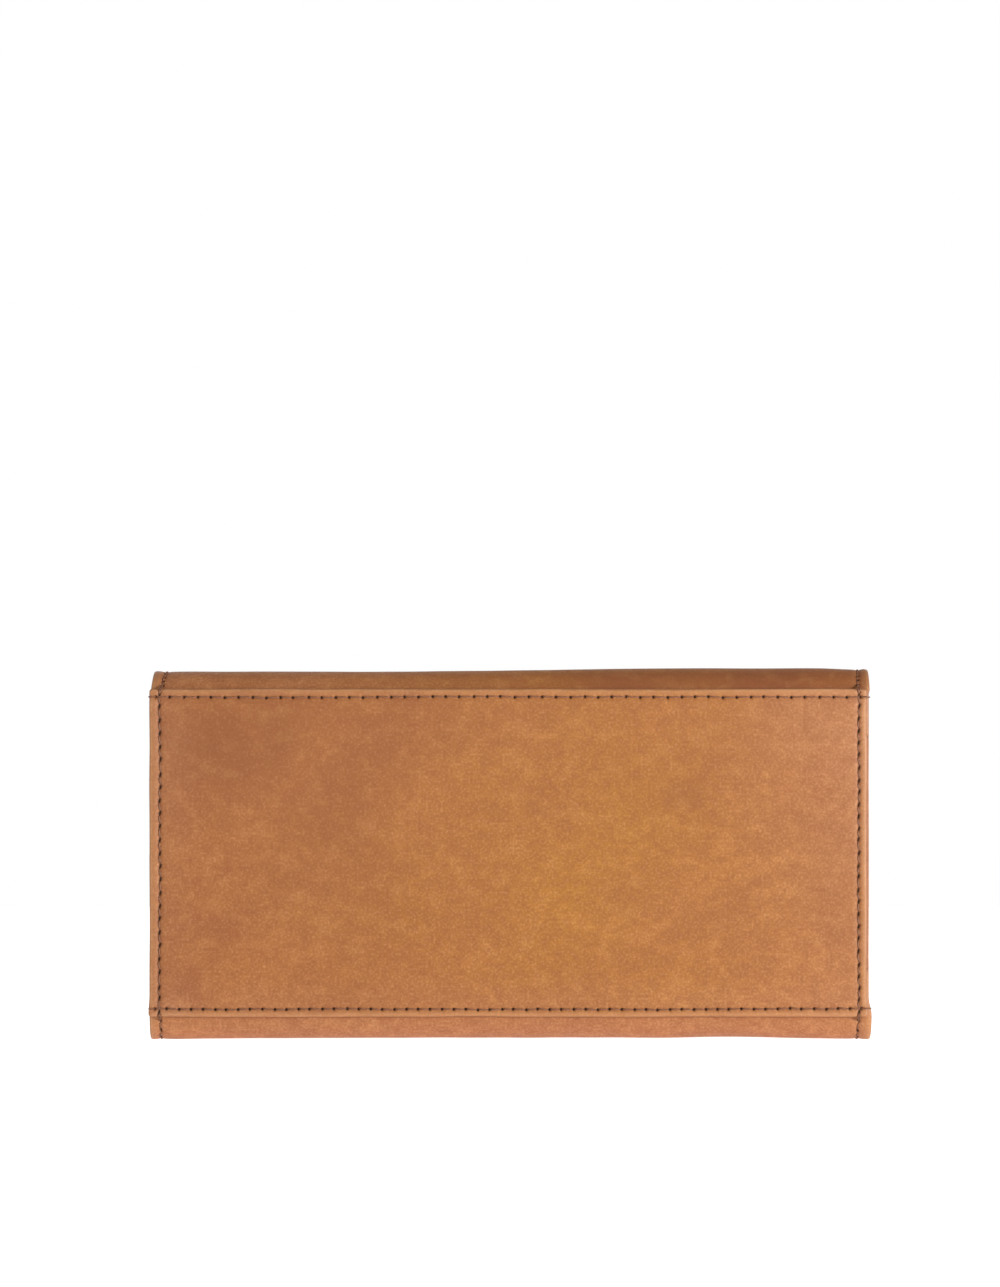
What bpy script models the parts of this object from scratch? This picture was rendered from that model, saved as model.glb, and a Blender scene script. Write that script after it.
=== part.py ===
"""Long leather wallet with a front flap, two note compartments and a zipped coin pocket.

Metres, +Z up. The wallet stands on its base with its back towards -Y. The origin is at the
bottom centre of its bounding box. The rigid bodies of the wallet are the back (with base),
the crest and flap that fold over the top, the front wall, the coin pocket, the zip slider
and its pull.
"""

import math

import bmesh
import bpy
from mathutils import Matrix

MM = 0.001

# Overall size
WIDTH = 195 * MM
HEIGHT = 100.5 * MM

# Sheet materials
LEATHER = 1.2 * MM
LINING = 0.6 * MM
BAG_LEATHER = 0.7 * MM
GUSSET_LEATHER = 0.6 * MM
GAP = 0.2 * MM

# Room between the walls
NOTE_ROOM = 4.4 * MM
COIN_ROOM = 4.4 * MM
SNAP_ROOM = 2.4 * MM
CARD_LEAVES = 2

# Press stud
CAP_RADIUS = 6.0 * MM
CAP_HEIGHT = 0.9 * MM
SNAP_Z = 34 * MM

# Folds of the outer leather: outer radii
BACK_CREST_RADIUS = 8 * MM
FRONT_CREST_RADIUS = 7 * MM
BACK_BASE_RADIUS = 6.5 * MM
FRONT_BASE_RADIUS = 5 * MM
# Each fold that bends is cut at its middle. The pivot stands this share of the radius in
# from the outer corner, just outside the leather, so the two halves open without touching.
PIVOT_SHARE = 0.25
HALF_CUT = 1.2
ARC_STEP = 11.25

# Heights
PANEL_BOTTOM = 6.2 * MM
PANEL_TOP = 95.0 * MM
BASE_TUCK_TOP = 19 * MM
CREST_TUCK_BOTTOM = 82 * MM
FRONT_TOP = 86 * MM
FLAP_BOTTOM = 20 * MM
FLAP_CORNER_RADIUS = 11 * MM
GUSSET_BOTTOM = 7.5 * MM
GUSSET_TOP = 83 * MM
BAG_BOTTOM = 8 * MM
BAG_TOP = 75 * MM
CARD_BOTTOM = 11 * MM
CARD_TOPS = (74 * MM, 60 * MM)

# Half widths
OUTER_HALF = WIDTH / 2
FLAP_HALF = OUTER_HALF - 0.8 * MM
LINING_INSET = 0.3 * MM
BAG_HALF = 88.4 * MM
# From the seam inwards: flange, outer bend, jog over the card leaves, fold, pocket flange
GUSSET_STATIONS = (97.0 * MM, 92.2 * MM, 90.4 * MM, 83.5 * MM, 88.4 * MM)
CARD_INNER = 0.8 * MM
CARD_OUTER = 89.3 * MM

# Stitching
THREAD_RADIUS = 0.25 * MM
THREAD_DEPTH = 0.3 * MM
GROOVE_RADIUS = 0.5 * MM
SIDE_SEAM_INSET = 2.9 * MM
BACK_SEAM_TOP_INSET = 2.3 * MM
BACK_SEAM_BOTTOM_INSET = 2.2 * MM
HEM_SEAM_INSET = 3 * MM
CROSSING_GAP = 0.9 * MM
SEAM_END_GAP = 0.4 * MM

# Zip
TOOTH_PITCH = 3.0 * MM
TOOTH_WIDTH = 1.1 * MM
TOOTH_REACH = 0.7 * MM
TEETH_HALF_LENGTH = 70 * MM
TEETH_BOTTOM = BAG_TOP + 1.4 * MM
TEETH_HEIGHT = 1.5 * MM
TAPE_THICKNESS = 0.4 * MM
TAPE_HEIGHT = 10.2 * MM
TAPE_HALF_LENGTH = 82 * MM
BEAD_THICKNESS = 0.55 * MM
SLIDER_X = 71.5 * MM
SLIDER_LENGTH = 11 * MM
SLIDER_HALF_WIDTH = 3.0 * MM
PLATE_THICKNESS = 1.0 * MM
PULL_LENGTH = 15.5 * MM
PULL_HALF_WIDTH = 2.5 * MM
PULL_THICKNESS = 0.9 * MM

# Distances from the back face forwards, through the closed wallet
WRAP_DEPTH = LEATHER + GAP
BACK_LINING_DEPTH = WRAP_DEPTH + LEATHER + GAP
CARDS_DEPTH = BACK_LINING_DEPTH + LINING
BAG_DEPTH = CARDS_DEPTH + CARD_LEAVES * (GAP + LINING) + NOTE_ROOM
BAG_THICKNESS = COIN_ROOM + 2 * BAG_LEATHER
FRONT_INNER_DEPTH = BAG_DEPTH + BAG_THICKNESS + NOTE_ROOM
FRONT_DEPTH = FRONT_INNER_DEPTH + LINING + GAP + LEATHER
FLAP_INNER_DEPTH = FRONT_DEPTH + SNAP_ROOM
FLAP_DEPTH = FLAP_INNER_DEPTH + LINING + GAP + LEATHER

BACK_Y = -(FLAP_DEPTH + CAP_HEIGHT) / 2
WRAP_Y = BACK_Y + WRAP_DEPTH
CARDS_Y = BACK_Y + CARDS_DEPTH
BAG_Y = BACK_Y + BAG_DEPTH + BAG_THICKNESS / 2
FRONT_INNER_Y = BACK_Y + FRONT_INNER_DEPTH
FRONT_Y = BACK_Y + FRONT_DEPTH
FLAP_INNER_Y = BACK_Y + FLAP_INNER_DEPTH
FLAP_Y = BACK_Y + FLAP_DEPTH

SEAM_X = OUTER_HALF - SIDE_SEAM_INSET
FLAP_SEAM_X = FLAP_HALF - SIDE_SEAM_INSET

COGNAC = (0.42, 0.16, 0.045, 1)
LINING_BROWN = (0.26, 0.13, 0.06, 1)
BAG_COGNAC = (0.33, 0.12, 0.04, 1)
BOARD_BUFF = (0.45, 0.36, 0.24, 1)
THREAD_BROWN = (0.16, 0.07, 0.04, 1)
TAPE_BROWN = (0.10, 0.05, 0.03, 1)
OLD_BRASS = (0.45, 0.32, 0.14, 1)

# Turns a profile drawn as (y, z) into one that is extruded along X
ACROSS = Matrix(((0, 0, 1, 0), (1, 0, 0, 0), (0, 1, 0, 0), (0, 0, 0, 1)))


def clear_scene():
    for obj in list(bpy.data.objects):
        bpy.data.objects.remove(obj)


def new_collection(name):
    collection = bpy.data.collections.new(name)
    bpy.context.scene.collection.children.link(collection)
    return collection


def material(name, colour, roughness, metallic=0.0):
    made = bpy.data.materials.get(name) or bpy.data.materials.new(name)
    made.use_nodes = True
    shader = made.node_tree.nodes["Principled BSDF"]
    shader.inputs["Base Color"].default_value = colour
    shader.inputs["Roughness"].default_value = roughness
    shader.inputs["Metallic"].default_value = metallic
    return made


def file_under(obj, collection):
    """Moves an object into one collection only."""
    for other in list(obj.users_collection):
        other.objects.unlink(obj)
    collection.objects.link(obj)
    return obj


def mesh_object(name, verts, faces):
    mesh = bpy.data.meshes.new(name)
    mesh.from_pydata(verts, [], faces)
    return file_under(bpy.data.objects.new(name, mesh), WALLET)


def paint(obj, finish):
    obj.data.materials.append(finish)
    return obj


def arc(centre, radius, start, end):
    """Points of an arc, in degrees counted anticlockwise from the first axis."""
    steps = max(1, round(abs(end - start) / ARC_STEP))
    angles = (math.radians(start + (end - start) * i / steps) for i in range(steps + 1))
    return [(centre[0] + radius * math.cos(a), centre[1] + radius * math.sin(a)) for a in angles]


def sheet(name, path_of, depth, thickness, half_width, finish):
    """Leather bent round the wallet's width. path_of(depth) gives the (y, z) points of its
    run at that depth under the outer faces."""
    ring = [*path_of(depth), *reversed(path_of(depth + thickness))]
    obj = outline(name, [ring], half_width)
    obj.matrix_world = ACROSS
    return paint(as_mesh(obj), finish)


def slab(name, low, high, finish, collection=None):
    """A flat rectangular piece between two corners."""
    bpy.ops.mesh.primitive_cube_add(size=1)
    obj = bpy.context.object
    obj.name = obj.data.name = name
    scale = [b - a for a, b in zip(low, high)]
    centre = [(a + b) / 2 for a, b in zip(low, high)]
    obj.data.transform(Matrix.Translation(centre) @ Matrix.Diagonal((*scale, 1)))
    file_under(obj, collection or WALLET)
    return paint(obj, finish) if finish else obj


def tube(name, points, radius, collection=None):
    """A thread or a groove cutter along a line of points."""
    curve = bpy.data.curves.new(name, "CURVE")
    curve.dimensions = "3D"
    curve.bevel_depth = radius
    curve.bevel_resolution = 2
    curve.use_fill_caps = True
    spline = curve.splines.new("POLY")
    spline.points.add(len(points) - 1)
    for point, place in zip(spline.points, points):
        point.co = (*place, 1)
    return file_under(bpy.data.objects.new(name, curve), collection or WALLET)


def outline(name, rings, half_thickness, collection=None):
    """A flat plate in the XY plane from closed rings of points; inner rings are holes."""
    curve = bpy.data.curves.new(name, "CURVE")
    curve.dimensions = "2D"
    curve.fill_mode = "BOTH"
    curve.extrude = half_thickness
    for ring in rings:
        spline = curve.splines.new("POLY")
        spline.points.add(len(ring) - 1)
        spline.use_cyclic_u = True
        for point, place in zip(spline.points, ring):
            point.co = (*place, 0, 1)
    return file_under(bpy.data.objects.new(name, curve), collection or WALLET)


def as_mesh(obj):
    """The curve object made a mesh object with its caps welded, in the same place."""
    bpy.context.view_layer.update()
    graph = bpy.context.evaluated_depsgraph_get()
    mesh = bpy.data.meshes.new_from_object(obj.evaluated_get(graph))
    shape = bmesh.new()
    shape.from_mesh(mesh)
    bmesh.ops.remove_doubles(shape, verts=shape.verts, dist=1e-6)
    shape.to_mesh(mesh)
    shape.free()
    name, place, collection = obj.name, obj.matrix_world.copy(), obj.users_collection[0]
    bpy.data.objects.remove(obj)
    made = file_under(bpy.data.objects.new(name, mesh), collection)
    made.matrix_world = place
    return made


def turned(name, profile, y, finish, collection=None):
    """A piece turned about an axis along +Y through the press stud, from (radius, y) points
    that run down its outer side. A profile that ends on the axis stays open there."""
    closed = profile[0][0] > 0
    mesh = bpy.data.meshes.new(name)
    edges = [(i, i + 1) for i in range(len(profile) - 1)]
    if closed:
        edges.append((len(profile) - 1, 0))
    mesh.from_pydata([(r, 0, along) for r, along in profile], edges, [])
    obj = file_under(bpy.data.objects.new(name, mesh), collection or WALLET)
    screw = obj.modifiers.new("turn", "SCREW")
    screw.axis = "Z"
    screw.steps = screw.render_steps = 32
    screw.use_merge_vertices = True
    screw.merge_threshold = 1e-5
    obj.rotation_euler = (-math.pi / 2, 0, 0)
    obj.location = (0, y, SNAP_Z)
    return paint(obj, finish) if finish else obj


def boolean(host, other, operation):
    modifier = host.modifiers.new(f"{operation.lower()} {other.name}", "BOOLEAN")
    modifier.operation = operation
    modifier.solver = "EXACT"
    modifier.object = other
    other.hide_render = True
    other.display_type = "WIRE"


def stitch(name, points, hosts):
    """A sewn thread along points, lying in a groove carved in its host sheets. The groove
    runs on past both ends of the thread."""
    thread = paint(tube(name, points, THREAD_RADIUS), THREAD)
    start, end = (run_on(points[i], points[j]) for i, j in ((0, 1), (-1, -2)))
    groove = as_mesh(tube(f"{name}_groove", [start, *points[1:-1], end], GROOVE_RADIUS, CUTTERS))
    for host in hosts:
        boolean(host, groove, "DIFFERENCE")
    return thread


def run_on(end, before):
    """The end of a line of points moved outwards by enough to leave its thread free."""
    length = math.dist(end, before)
    share = 2 * SEAM_END_GAP / length
    return tuple(e + (e - b) * share for e, b in zip(end, before))


def base_path(depth, tuck_top=BASE_TUCK_TOP):
    """Back wall from the tuck down, round the back of the base, to the front base fold."""
    y, front = WRAP_Y + depth, FRONT_Y - depth
    back = arc((y + BACK_BASE_RADIUS - depth, BACK_BASE_RADIUS), BACK_BASE_RADIUS - depth, 180, 270)
    centre = (front - FRONT_BASE_RADIUS + depth, FRONT_BASE_RADIUS)
    return [(y, tuck_top), *back, *arc(centre, FRONT_BASE_RADIUS - depth, 270, 315 - HALF_CUT)]


def lining_path(depth):
    return base_path(depth, FRONT_TOP + 4 * MM)


def front_path(depth, top=FRONT_TOP):
    """The front wall, from the middle of its base fold up to its top edge."""
    centre = (FRONT_Y - FRONT_BASE_RADIUS, FRONT_BASE_RADIUS)
    fold = arc(centre, FRONT_BASE_RADIUS - depth, 315 + HALF_CUT, 360)
    return [*fold, (FRONT_Y - depth, top)]


def flap_path(depth, bottom=FLAP_BOTTOM):
    """The flap, from its lower edge up to the middle of the front crest fold."""
    centre = (FLAP_Y - FRONT_CREST_RADIUS, HEIGHT - FRONT_CREST_RADIUS)
    fold = arc(centre, FRONT_CREST_RADIUS - depth, 0, 45 - HALF_CUT)
    return [(FLAP_Y - depth, bottom), *fold]


def crest_path(depth):
    """Over the top, from the middle of the front crest fold to that of the back one."""
    front = (FLAP_Y - FRONT_CREST_RADIUS, HEIGHT - FRONT_CREST_RADIUS)
    back = (WRAP_Y + BACK_CREST_RADIUS, HEIGHT - BACK_CREST_RADIUS)
    return [
        *arc(front, FRONT_CREST_RADIUS - depth, 45 + HALF_CUT, 90),
        *arc(back, BACK_CREST_RADIUS - depth, 90, 135 - HALF_CUT),
    ]


def tuck_path(depth, bottom=CREST_TUCK_BOTTOM):
    """From the middle of the back crest fold down behind the back panel."""
    centre = (WRAP_Y + BACK_CREST_RADIUS, HEIGHT - BACK_CREST_RADIUS)
    fold = arc(centre, BACK_CREST_RADIUS - depth, 135 + HALF_CUT, 180)
    return [*fold, (WRAP_Y + depth, bottom)]


def clipped(path, low=-math.inf, high=math.inf):
    """The points of a path whose height lies between two limits."""
    return [(y, z) for y, z in path if low <= z <= high]


def at_x(x, path):
    return [(x, y, z) for y, z in path]


def both_sides(name, path, x, hosts):
    """The pair of side seams that follow one path, left at -X and right at +X."""
    for side, sign in (("left", -1), ("right", 1)):
        stitch(f"{name}_{side}", at_x(sign * x, path), hosts)


def make_back():
    """The stitched back panel, the board under it and the lining of back and base."""
    panel = slab(
        "back_panel",
        (-OUTER_HALF, BACK_Y, PANEL_BOTTOM),
        (OUTER_HALF, BACK_Y + LEATHER, PANEL_TOP),
        OUTER_LEATHER,
    )
    slab(
        "back_board",
        (-OUTER_HALF + 6 * MM, WRAP_Y, BASE_TUCK_TOP + GAP),
        (OUTER_HALF - 6 * MM, WRAP_Y + LEATHER, CREST_TUCK_BOTTOM - GAP),
        BOARD,
    )
    half = OUTER_HALF - LINING_INSET
    sheet("back_lining", lining_path, LEATHER + GAP, LINING, half, LINING_CLOTH)
    seam_y = BACK_Y + THREAD_DEPTH
    reach = SEAM_X - CROSSING_GAP
    for name, z in (
        ("back_seam_top", PANEL_TOP - BACK_SEAM_TOP_INSET),
        ("back_seam_bottom", PANEL_BOTTOM + BACK_SEAM_BOTTOM_INSET),
    ):
        stitch(name, [(-reach, seam_y, z), (reach, seam_y, z)], [panel])
    side = [(seam_y, PANEL_BOTTOM + SEAM_END_GAP), (seam_y, PANEL_TOP - SEAM_END_GAP)]
    both_sides("back_seam", side, SEAM_X, [panel])


def make_base():
    """The leather that runs from behind the back panel, under the wallet."""
    half = OUTER_HALF - LINING_INSET
    wrap = sheet("base_leather", base_path, 0, LEATHER, half, OUTER_LEATHER)
    path = clipped(base_path(THREAD_DEPTH), high=PANEL_BOTTOM - 2 * SEAM_END_GAP)
    both_sides("base_seam", path, SEAM_X, [wrap])


def make_card_leaves():
    """Two columns of card slots on the back lining, each of overlapping leaves."""
    for column, sign in (("left", -1), ("right", 1)):
        for row, top in zip(("upper", "lower"), CARD_TOPS):
            index = CARD_TOPS.index(top)
            near = CARDS_Y + GAP + index * (LINING + GAP)
            x = sorted((sign * CARD_INNER, sign * CARD_OUTER))
            slab(
                f"card_slot_{column}_{row}",
                (x[0], near, CARD_BOTTOM),
                (x[1], near + LINING, top),
                BAG_LEATHER_FINISH,
            )


def make_crest():
    """The tuck behind the back panel and the strip of flap leather over the top."""
    tuck = sheet("crest_tuck", tuck_path, 0, LEATHER, FLAP_HALF, OUTER_LEATHER)
    visible = clipped(tuck_path(THREAD_DEPTH), low=PANEL_TOP + SEAM_END_GAP)
    both_sides("tuck_seam", visible, FLAP_SEAM_X, [tuck])
    strip = sheet("crest_leather", crest_path, 0, LEATHER, FLAP_HALF, OUTER_LEATHER)
    half = FLAP_HALF - LINING_INSET
    sheet("crest_lining", crest_path, LEATHER + GAP, LINING, half, LINING_CLOTH)
    both_sides("crest_seam", crest_path(THREAD_DEPTH)[1:-1], FLAP_SEAM_X, [strip])


def rounded_flap_outline(half, bottom, radius):
    """The flap seen from the front, as (x, z), with round lower corners."""
    left, right = (-half + radius, bottom + radius), (half - radius, bottom + radius)
    return [
        *arc(left, radius, 180, 270),
        *arc(right, radius, 270, 360),
        (half, HEIGHT + radius),
        (-half, HEIGHT + radius),
    ]


def trim_flap(flap, half, bottom, radius):
    """Rounds the lower corners of a flap sheet."""
    cutter = outline(
        f"{flap.name}_trim", [rounded_flap_outline(half, bottom, radius)], WIDTH / 4, CUTTERS
    )
    cutter.rotation_euler = (math.pi / 2, 0, 0)
    boolean(flap, as_mesh(cutter), "INTERSECT")


def bore(host, radius):
    """A hole for the press stud through a sheet."""
    name = f"{host.name}_bore"
    reach = 4 * MM
    profile = [(0, reach), (radius, reach), (radius, -reach), (0, -reach)]
    y = (FLAP_INNER_Y + FRONT_Y) / 2
    boolean(host, turned(name, profile, y, None, CUTTERS), "DIFFERENCE")


def make_flap():
    """The flap down the front, with its lining, its one long seam and the stud's top half."""
    leather = sheet("flap_leather", flap_path, 0, LEATHER, FLAP_HALF, OUTER_LEATHER)
    trim_flap(leather, FLAP_HALF + MM, FLAP_BOTTOM - MM / 2, FLAP_CORNER_RADIUS)
    edge = FLAP_BOTTOM + LINING_INSET
    half = FLAP_HALF - LINING_INSET
    lining = sheet("flap_lining", flap_path, LEATHER + GAP, LINING, half, LINING_CLOTH)
    trim_flap(lining, half + MM, edge - MM / 2, FLAP_CORNER_RADIUS)
    inset = SIDE_SEAM_INSET
    radius = FLAP_CORNER_RADIUS - inset
    low = FLAP_BOTTOM + inset
    fold = flap_path(THREAD_DEPTH)[1:-1]
    corner = (FLAP_SEAM_X - radius, low + radius)
    y = FLAP_Y - THREAD_DEPTH
    half_seam = [
        *((x, y, z) for x, z in arc(corner, radius, 270, 360)),
        *at_x(FLAP_SEAM_X, fold),
    ]
    mirrored = [(-x, y, z) for x, y, z in reversed(half_seam)]
    stitch("flap_seam", mirrored + half_seam, [leather])
    bore(leather, 1.9 * MM)
    bore(lining, 1.9 * MM)
    make_snap_top()


def make_snap_top():
    """The cap on the flap's outer face and the socket on its lining."""
    near = 0.1 * MM
    post_end = FLAP_INNER_Y - FLAP_Y - 0.5 * MM
    turned(
        "snap_cap",
        [
            (0, CAP_HEIGHT),
            (0.5 * CAP_RADIUS, 0.93 * CAP_HEIGHT),
            (0.85 * CAP_RADIUS, 0.65 * CAP_HEIGHT),
            (CAP_RADIUS, 0.3 * CAP_HEIGHT),
            (CAP_RADIUS, near),
            (1.6 * MM, near),
            (1.6 * MM, post_end),
            (0, post_end),
        ],
        FLAP_Y,
        BRASS,
    )
    turned(
        "snap_socket",
        [
            (5.0 * MM, -near),
            (5.4 * MM, -0.4 * MM),
            (5.4 * MM, -1.3 * MM),
            (5.0 * MM, -1.6 * MM),
            (2.9 * MM, -1.6 * MM),
            (2.9 * MM, -0.4 * MM),
            (1.9 * MM, -0.4 * MM),
            (1.9 * MM, -near),
        ],
        FLAP_INNER_Y,
        BRASS,
    )


def make_snap_base():
    """The stud on the front wall and the post that holds it from inside."""
    turned(
        "snap_stud",
        [
            (0, 1.7 * MM),
            (1.7 * MM, 1.7 * MM),
            (2.2 * MM, 1.3 * MM),
            (1.9 * MM, 0.5 * MM),
            (4.6 * MM, 0.5 * MM),
            (4.6 * MM, 0.1 * MM),
            (1.2 * MM, 0.1 * MM),
            (1.2 * MM, 1.2 * MM),
            (0, 1.2 * MM),
        ],
        FRONT_Y,
        BRASS,
    )
    turned(
        "snap_post",
        [
            (0, 2.1 * MM),
            (0.9 * MM, 2.1 * MM),
            (0.9 * MM, -0.1 * MM),
            (4.0 * MM, -0.1 * MM),
            (4.0 * MM, -0.5 * MM),
            (0, -0.5 * MM),
        ],
        FRONT_Y - LEATHER,
        BRASS,
    )


def make_front():
    """The front wall, its lining, its seams and the stud's lower half."""
    half = OUTER_HALF - LINING_INSET
    leather = sheet("front_leather", front_path, 0, LEATHER, half, OUTER_LEATHER)
    depth = LEATHER + GAP
    lining = sheet("front_lining", front_path, depth, LINING, half - LINING_INSET, LINING_CLOTH)
    seam = front_path(THREAD_DEPTH, FRONT_TOP - SEAM_END_GAP)[1:]
    both_sides("front_seam", seam, SEAM_X, [leather])
    reach = SEAM_X - CROSSING_GAP
    y, z = FRONT_Y - THREAD_DEPTH, FRONT_TOP - HEM_SEAM_INSET
    stitch("front_seam_hem", [(-reach, y, z), (reach, y, z)], [leather])
    bore(leather, 1.2 * MM)
    bore(lining, 4.3 * MM)
    make_snap_base()


def gusset_path(compartment):
    """A folded side, as (x, y) on the right: a flange on the wall of the wallet, a fold into
    the note compartment, and a flange on the coin pocket."""
    half = GUSSET_LEATHER / 2
    flange_x, outer_x, jog_x, fold_x, bag_x = GUSSET_STATIONS
    if compartment == "rear":
        wall = CARDS_Y + GAP + half
        leg = CARDS_Y + CARD_LEAVES * (LINING + GAP) + GAP + half
        bag = BAG_Y - BAG_THICKNESS / 2 - GAP - half
        flange = [(flange_x, wall), (outer_x, wall), (jog_x, leg)]
    else:
        leg = FRONT_INNER_Y - GAP - half
        bag = BAG_Y + BAG_THICKNESS / 2 + GAP + half
        flange = [(flange_x, leg)]
    low, high = sorted((leg, bag))
    fold = arc((fold_x, (low + high) / 2), (high - low) / 2, 270, 90)
    if compartment == "front":
        fold.reverse()
    return [*flange, *fold, (bag_x, bag)]


def make_gussets():
    for compartment in ("rear", "front"):
        for side, sign in (("left", -1), ("right", 1)):
            path = gusset_path(compartment)
            verts = [(sign * x, y, z) for x, y in path for z in (GUSSET_BOTTOM, GUSSET_TOP)]
            faces = [(2 * i, 2 * i + 2, 2 * i + 3, 2 * i + 1) for i in range(len(path) - 1)]
            gusset = mesh_object(f"gusset_{compartment}_{side}", verts, faces)
            solid = gusset.modifiers.new("thickness", "SOLIDIFY")
            solid.thickness = GUSSET_LEATHER
            solid.offset = 0
            solid.use_even_offset = True
            paint(gusset, BAG_LEATHER_FINISH)


def make_coin_pocket():
    """The leather bag between the note compartments, open at the top for its zip."""
    half = BAG_THICKNESS / 2
    low = (-BAG_HALF, BAG_Y - half, BAG_BOTTOM)
    high = (BAG_HALF, BAG_Y + half, BAG_TOP)
    bag = slab("coin_pocket", low, high, BAG_LEATHER_FINISH)
    shape = bmesh.new()
    shape.from_mesh(bag.data)
    lid = [face for face in shape.faces if face.normal.z > 0.5]
    bmesh.ops.delete(shape, geom=lid, context="FACES_ONLY")
    shape.to_mesh(bag.data)
    shape.free()
    solid = bag.modifiers.new("thickness", "SOLIDIFY")
    solid.thickness = BAG_LEATHER
    solid.offset = -1
    solid.use_even_offset = True


def teeth_outline(side):
    """One row of teeth from above: a bead with a tooth at every pitch. side is +1 or -1."""
    outer = COIN_ROOM / 2 - GAP
    inner = outer - BEAD_THICKNESS
    count = int(2 * TEETH_HALF_LENGTH / TOOTH_PITCH)
    start = -TEETH_HALF_LENGTH + (TOOTH_PITCH / 2 if side > 0 else 0)
    points = [(-TEETH_HALF_LENGTH - MM, outer), (-TEETH_HALF_LENGTH - MM, inner)]
    for i in range(count):
        x = start + i * TOOTH_PITCH
        points += [(x, inner), (x, -TOOTH_REACH), (x + TOOTH_WIDTH, -TOOTH_REACH), (x + TOOTH_WIDTH, inner)]
    points += [(TEETH_HALF_LENGTH + MM, inner), (TEETH_HALF_LENGTH + MM, outer)]
    return [(x, side * y) for x, y in points]


def make_zip():
    """Tapes inside the bag's mouth, the two rows of teeth and the stops at their ends."""
    for place, side in (("rear", -1), ("front", 1)):
        outer = BAG_Y + side * (COIN_ROOM / 2 - GAP)
        inner = outer - side * TAPE_THICKNESS
        low, high = sorted((outer, inner))
        tape_top = TEETH_BOTTOM - GAP
        slab(
            f"zip_tape_{place}",
            (-TAPE_HALF_LENGTH, low, tape_top - TAPE_HEIGHT),
            (TAPE_HALF_LENGTH, high, tape_top),
            TAPE,
        )
        row = outline(f"zip_teeth_{place}", [teeth_outline(side)], TEETH_HEIGHT / 2)
        row.location = (0, BAG_Y, TEETH_BOTTOM + TEETH_HEIGHT / 2)
        paint(row, BRASS)
        low, high = sorted((outer, BAG_Y + side * 0.5 * MM))
        slab(
            f"zip_top_stop_{place}",
            (SLIDER_X + SLIDER_LENGTH / 2 + 0.5 * MM, low, TEETH_BOTTOM),
            (SLIDER_X + SLIDER_LENGTH / 2 + 2.5 * MM, high, TEETH_BOTTOM + TEETH_HEIGHT),
            BRASS,
        )
    half = COIN_ROOM / 2 - GAP
    slab(
        "zip_bottom_stop",
        (-TEETH_HALF_LENGTH - 5 * MM, BAG_Y - half, TEETH_BOTTOM),
        (-TEETH_HALF_LENGTH - 3 * MM, BAG_Y + half, TEETH_BOTTOM + TEETH_HEIGHT),
        BRASS,
    )


def slider_block(name, x, y, z):
    """One block of the slider, from its spans along the three axes."""
    return slab(name, (x[0], BAG_Y + y[0], z[0]), (x[1], BAG_Y + y[1], z[1]), None, CUTTERS)


def make_slider():
    """Top plate with side lips, the wedge between the rows, the under plate and the crown
    that holds the pull. Its nose points to +X, where the zip is closed."""
    plate_low = TEETH_BOTTOM + TEETH_HEIGHT + 0.3 * MM
    plate_high = plate_low + PLATE_THICKNESS
    ends = (SLIDER_X - SLIDER_LENGTH / 2, SLIDER_X + SLIDER_LENGTH / 2)
    half = SLIDER_HALF_WIDTH
    slider = slab(
        "zip_slider",
        (ends[0], BAG_Y - half, plate_low),
        (ends[1], BAG_Y + half, plate_high),
        BRASS,
    )
    overlap = 0.3 * MM
    lip = (BAG_TOP + 0.4 * MM, plate_low + overlap)
    wedge_x = (SLIDER_X + 1.6 * MM, SLIDER_X + 4.0 * MM)
    under = (BAG_TOP, TEETH_BOTTOM - 0.3 * MM)
    blocks = [
        slider_block("slider_lip_rear", ends, (-half, -half + 0.6 * MM), lip),
        slider_block("slider_lip_front", ends, (half - 0.6 * MM, half), lip),
        slider_block("slider_wedge", wedge_x, (-0.5 * MM, 0.5 * MM), (under[1] - overlap, lip[1])),
        slider_block("slider_under", (ends[0] + MM, ends[1] - MM), (-1.3 * MM, 1.3 * MM), under),
        slider_crown(plate_high),
    ]
    for block in blocks:
        boolean(slider, block, "UNION")


def pull_axis_z():
    return TEETH_BOTTOM + TEETH_HEIGHT + 0.3 * MM + PLATE_THICKNESS + 0.8 * MM


def slider_crown(plate_top):
    """The half ring over the plate that the pull turns in."""
    foot = pull_axis_z() - plate_top + 0.3 * MM
    outer, inner = 2.0 * MM, 1.0 * MM
    ring = [
        (outer, -foot),
        *arc((0, 0), outer, 0, 180),
        (-outer, -foot),
        (-inner, -foot),
        *arc((0, 0), inner, 180, 0),
        (inner, -foot),
    ]
    crown = outline("slider_crown", [ring], 0.6 * MM, CUTTERS)
    crown.rotation_euler = (math.pi / 2, 0, 0)
    crown.location = (SLIDER_X, BAG_Y, pull_axis_z())
    return as_mesh(crown)


def make_pull():
    """The flat pull, which lies back over the teeth and turns on its root bar."""
    bar = 0.5 * MM
    wide = PULL_HALF_WIDTH
    tip = (-PULL_LENGTH + wide, 0)
    body = [
        (bar, -0.75 * wide),
        (bar, 0.75 * wide),
        (-4 * MM, 0.75 * wide),
        *arc(tip, wide, 90, 270),
        (-4 * MM, -0.75 * wide),
    ]
    slot = [(-bar, -1.0 * MM), (-3.1 * MM, -1.0 * MM), (-3.1 * MM, 1.0 * MM), (-bar, 1.0 * MM)]
    eye = arc(tip, 1.1 * MM, 0, 360)[:-1]
    pull = outline("zip_pull", [body, slot, eye], PULL_THICKNESS / 2)
    pull.location = (SLIDER_X, BAG_Y, pull_axis_z())
    paint(pull, BRASS)


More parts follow.
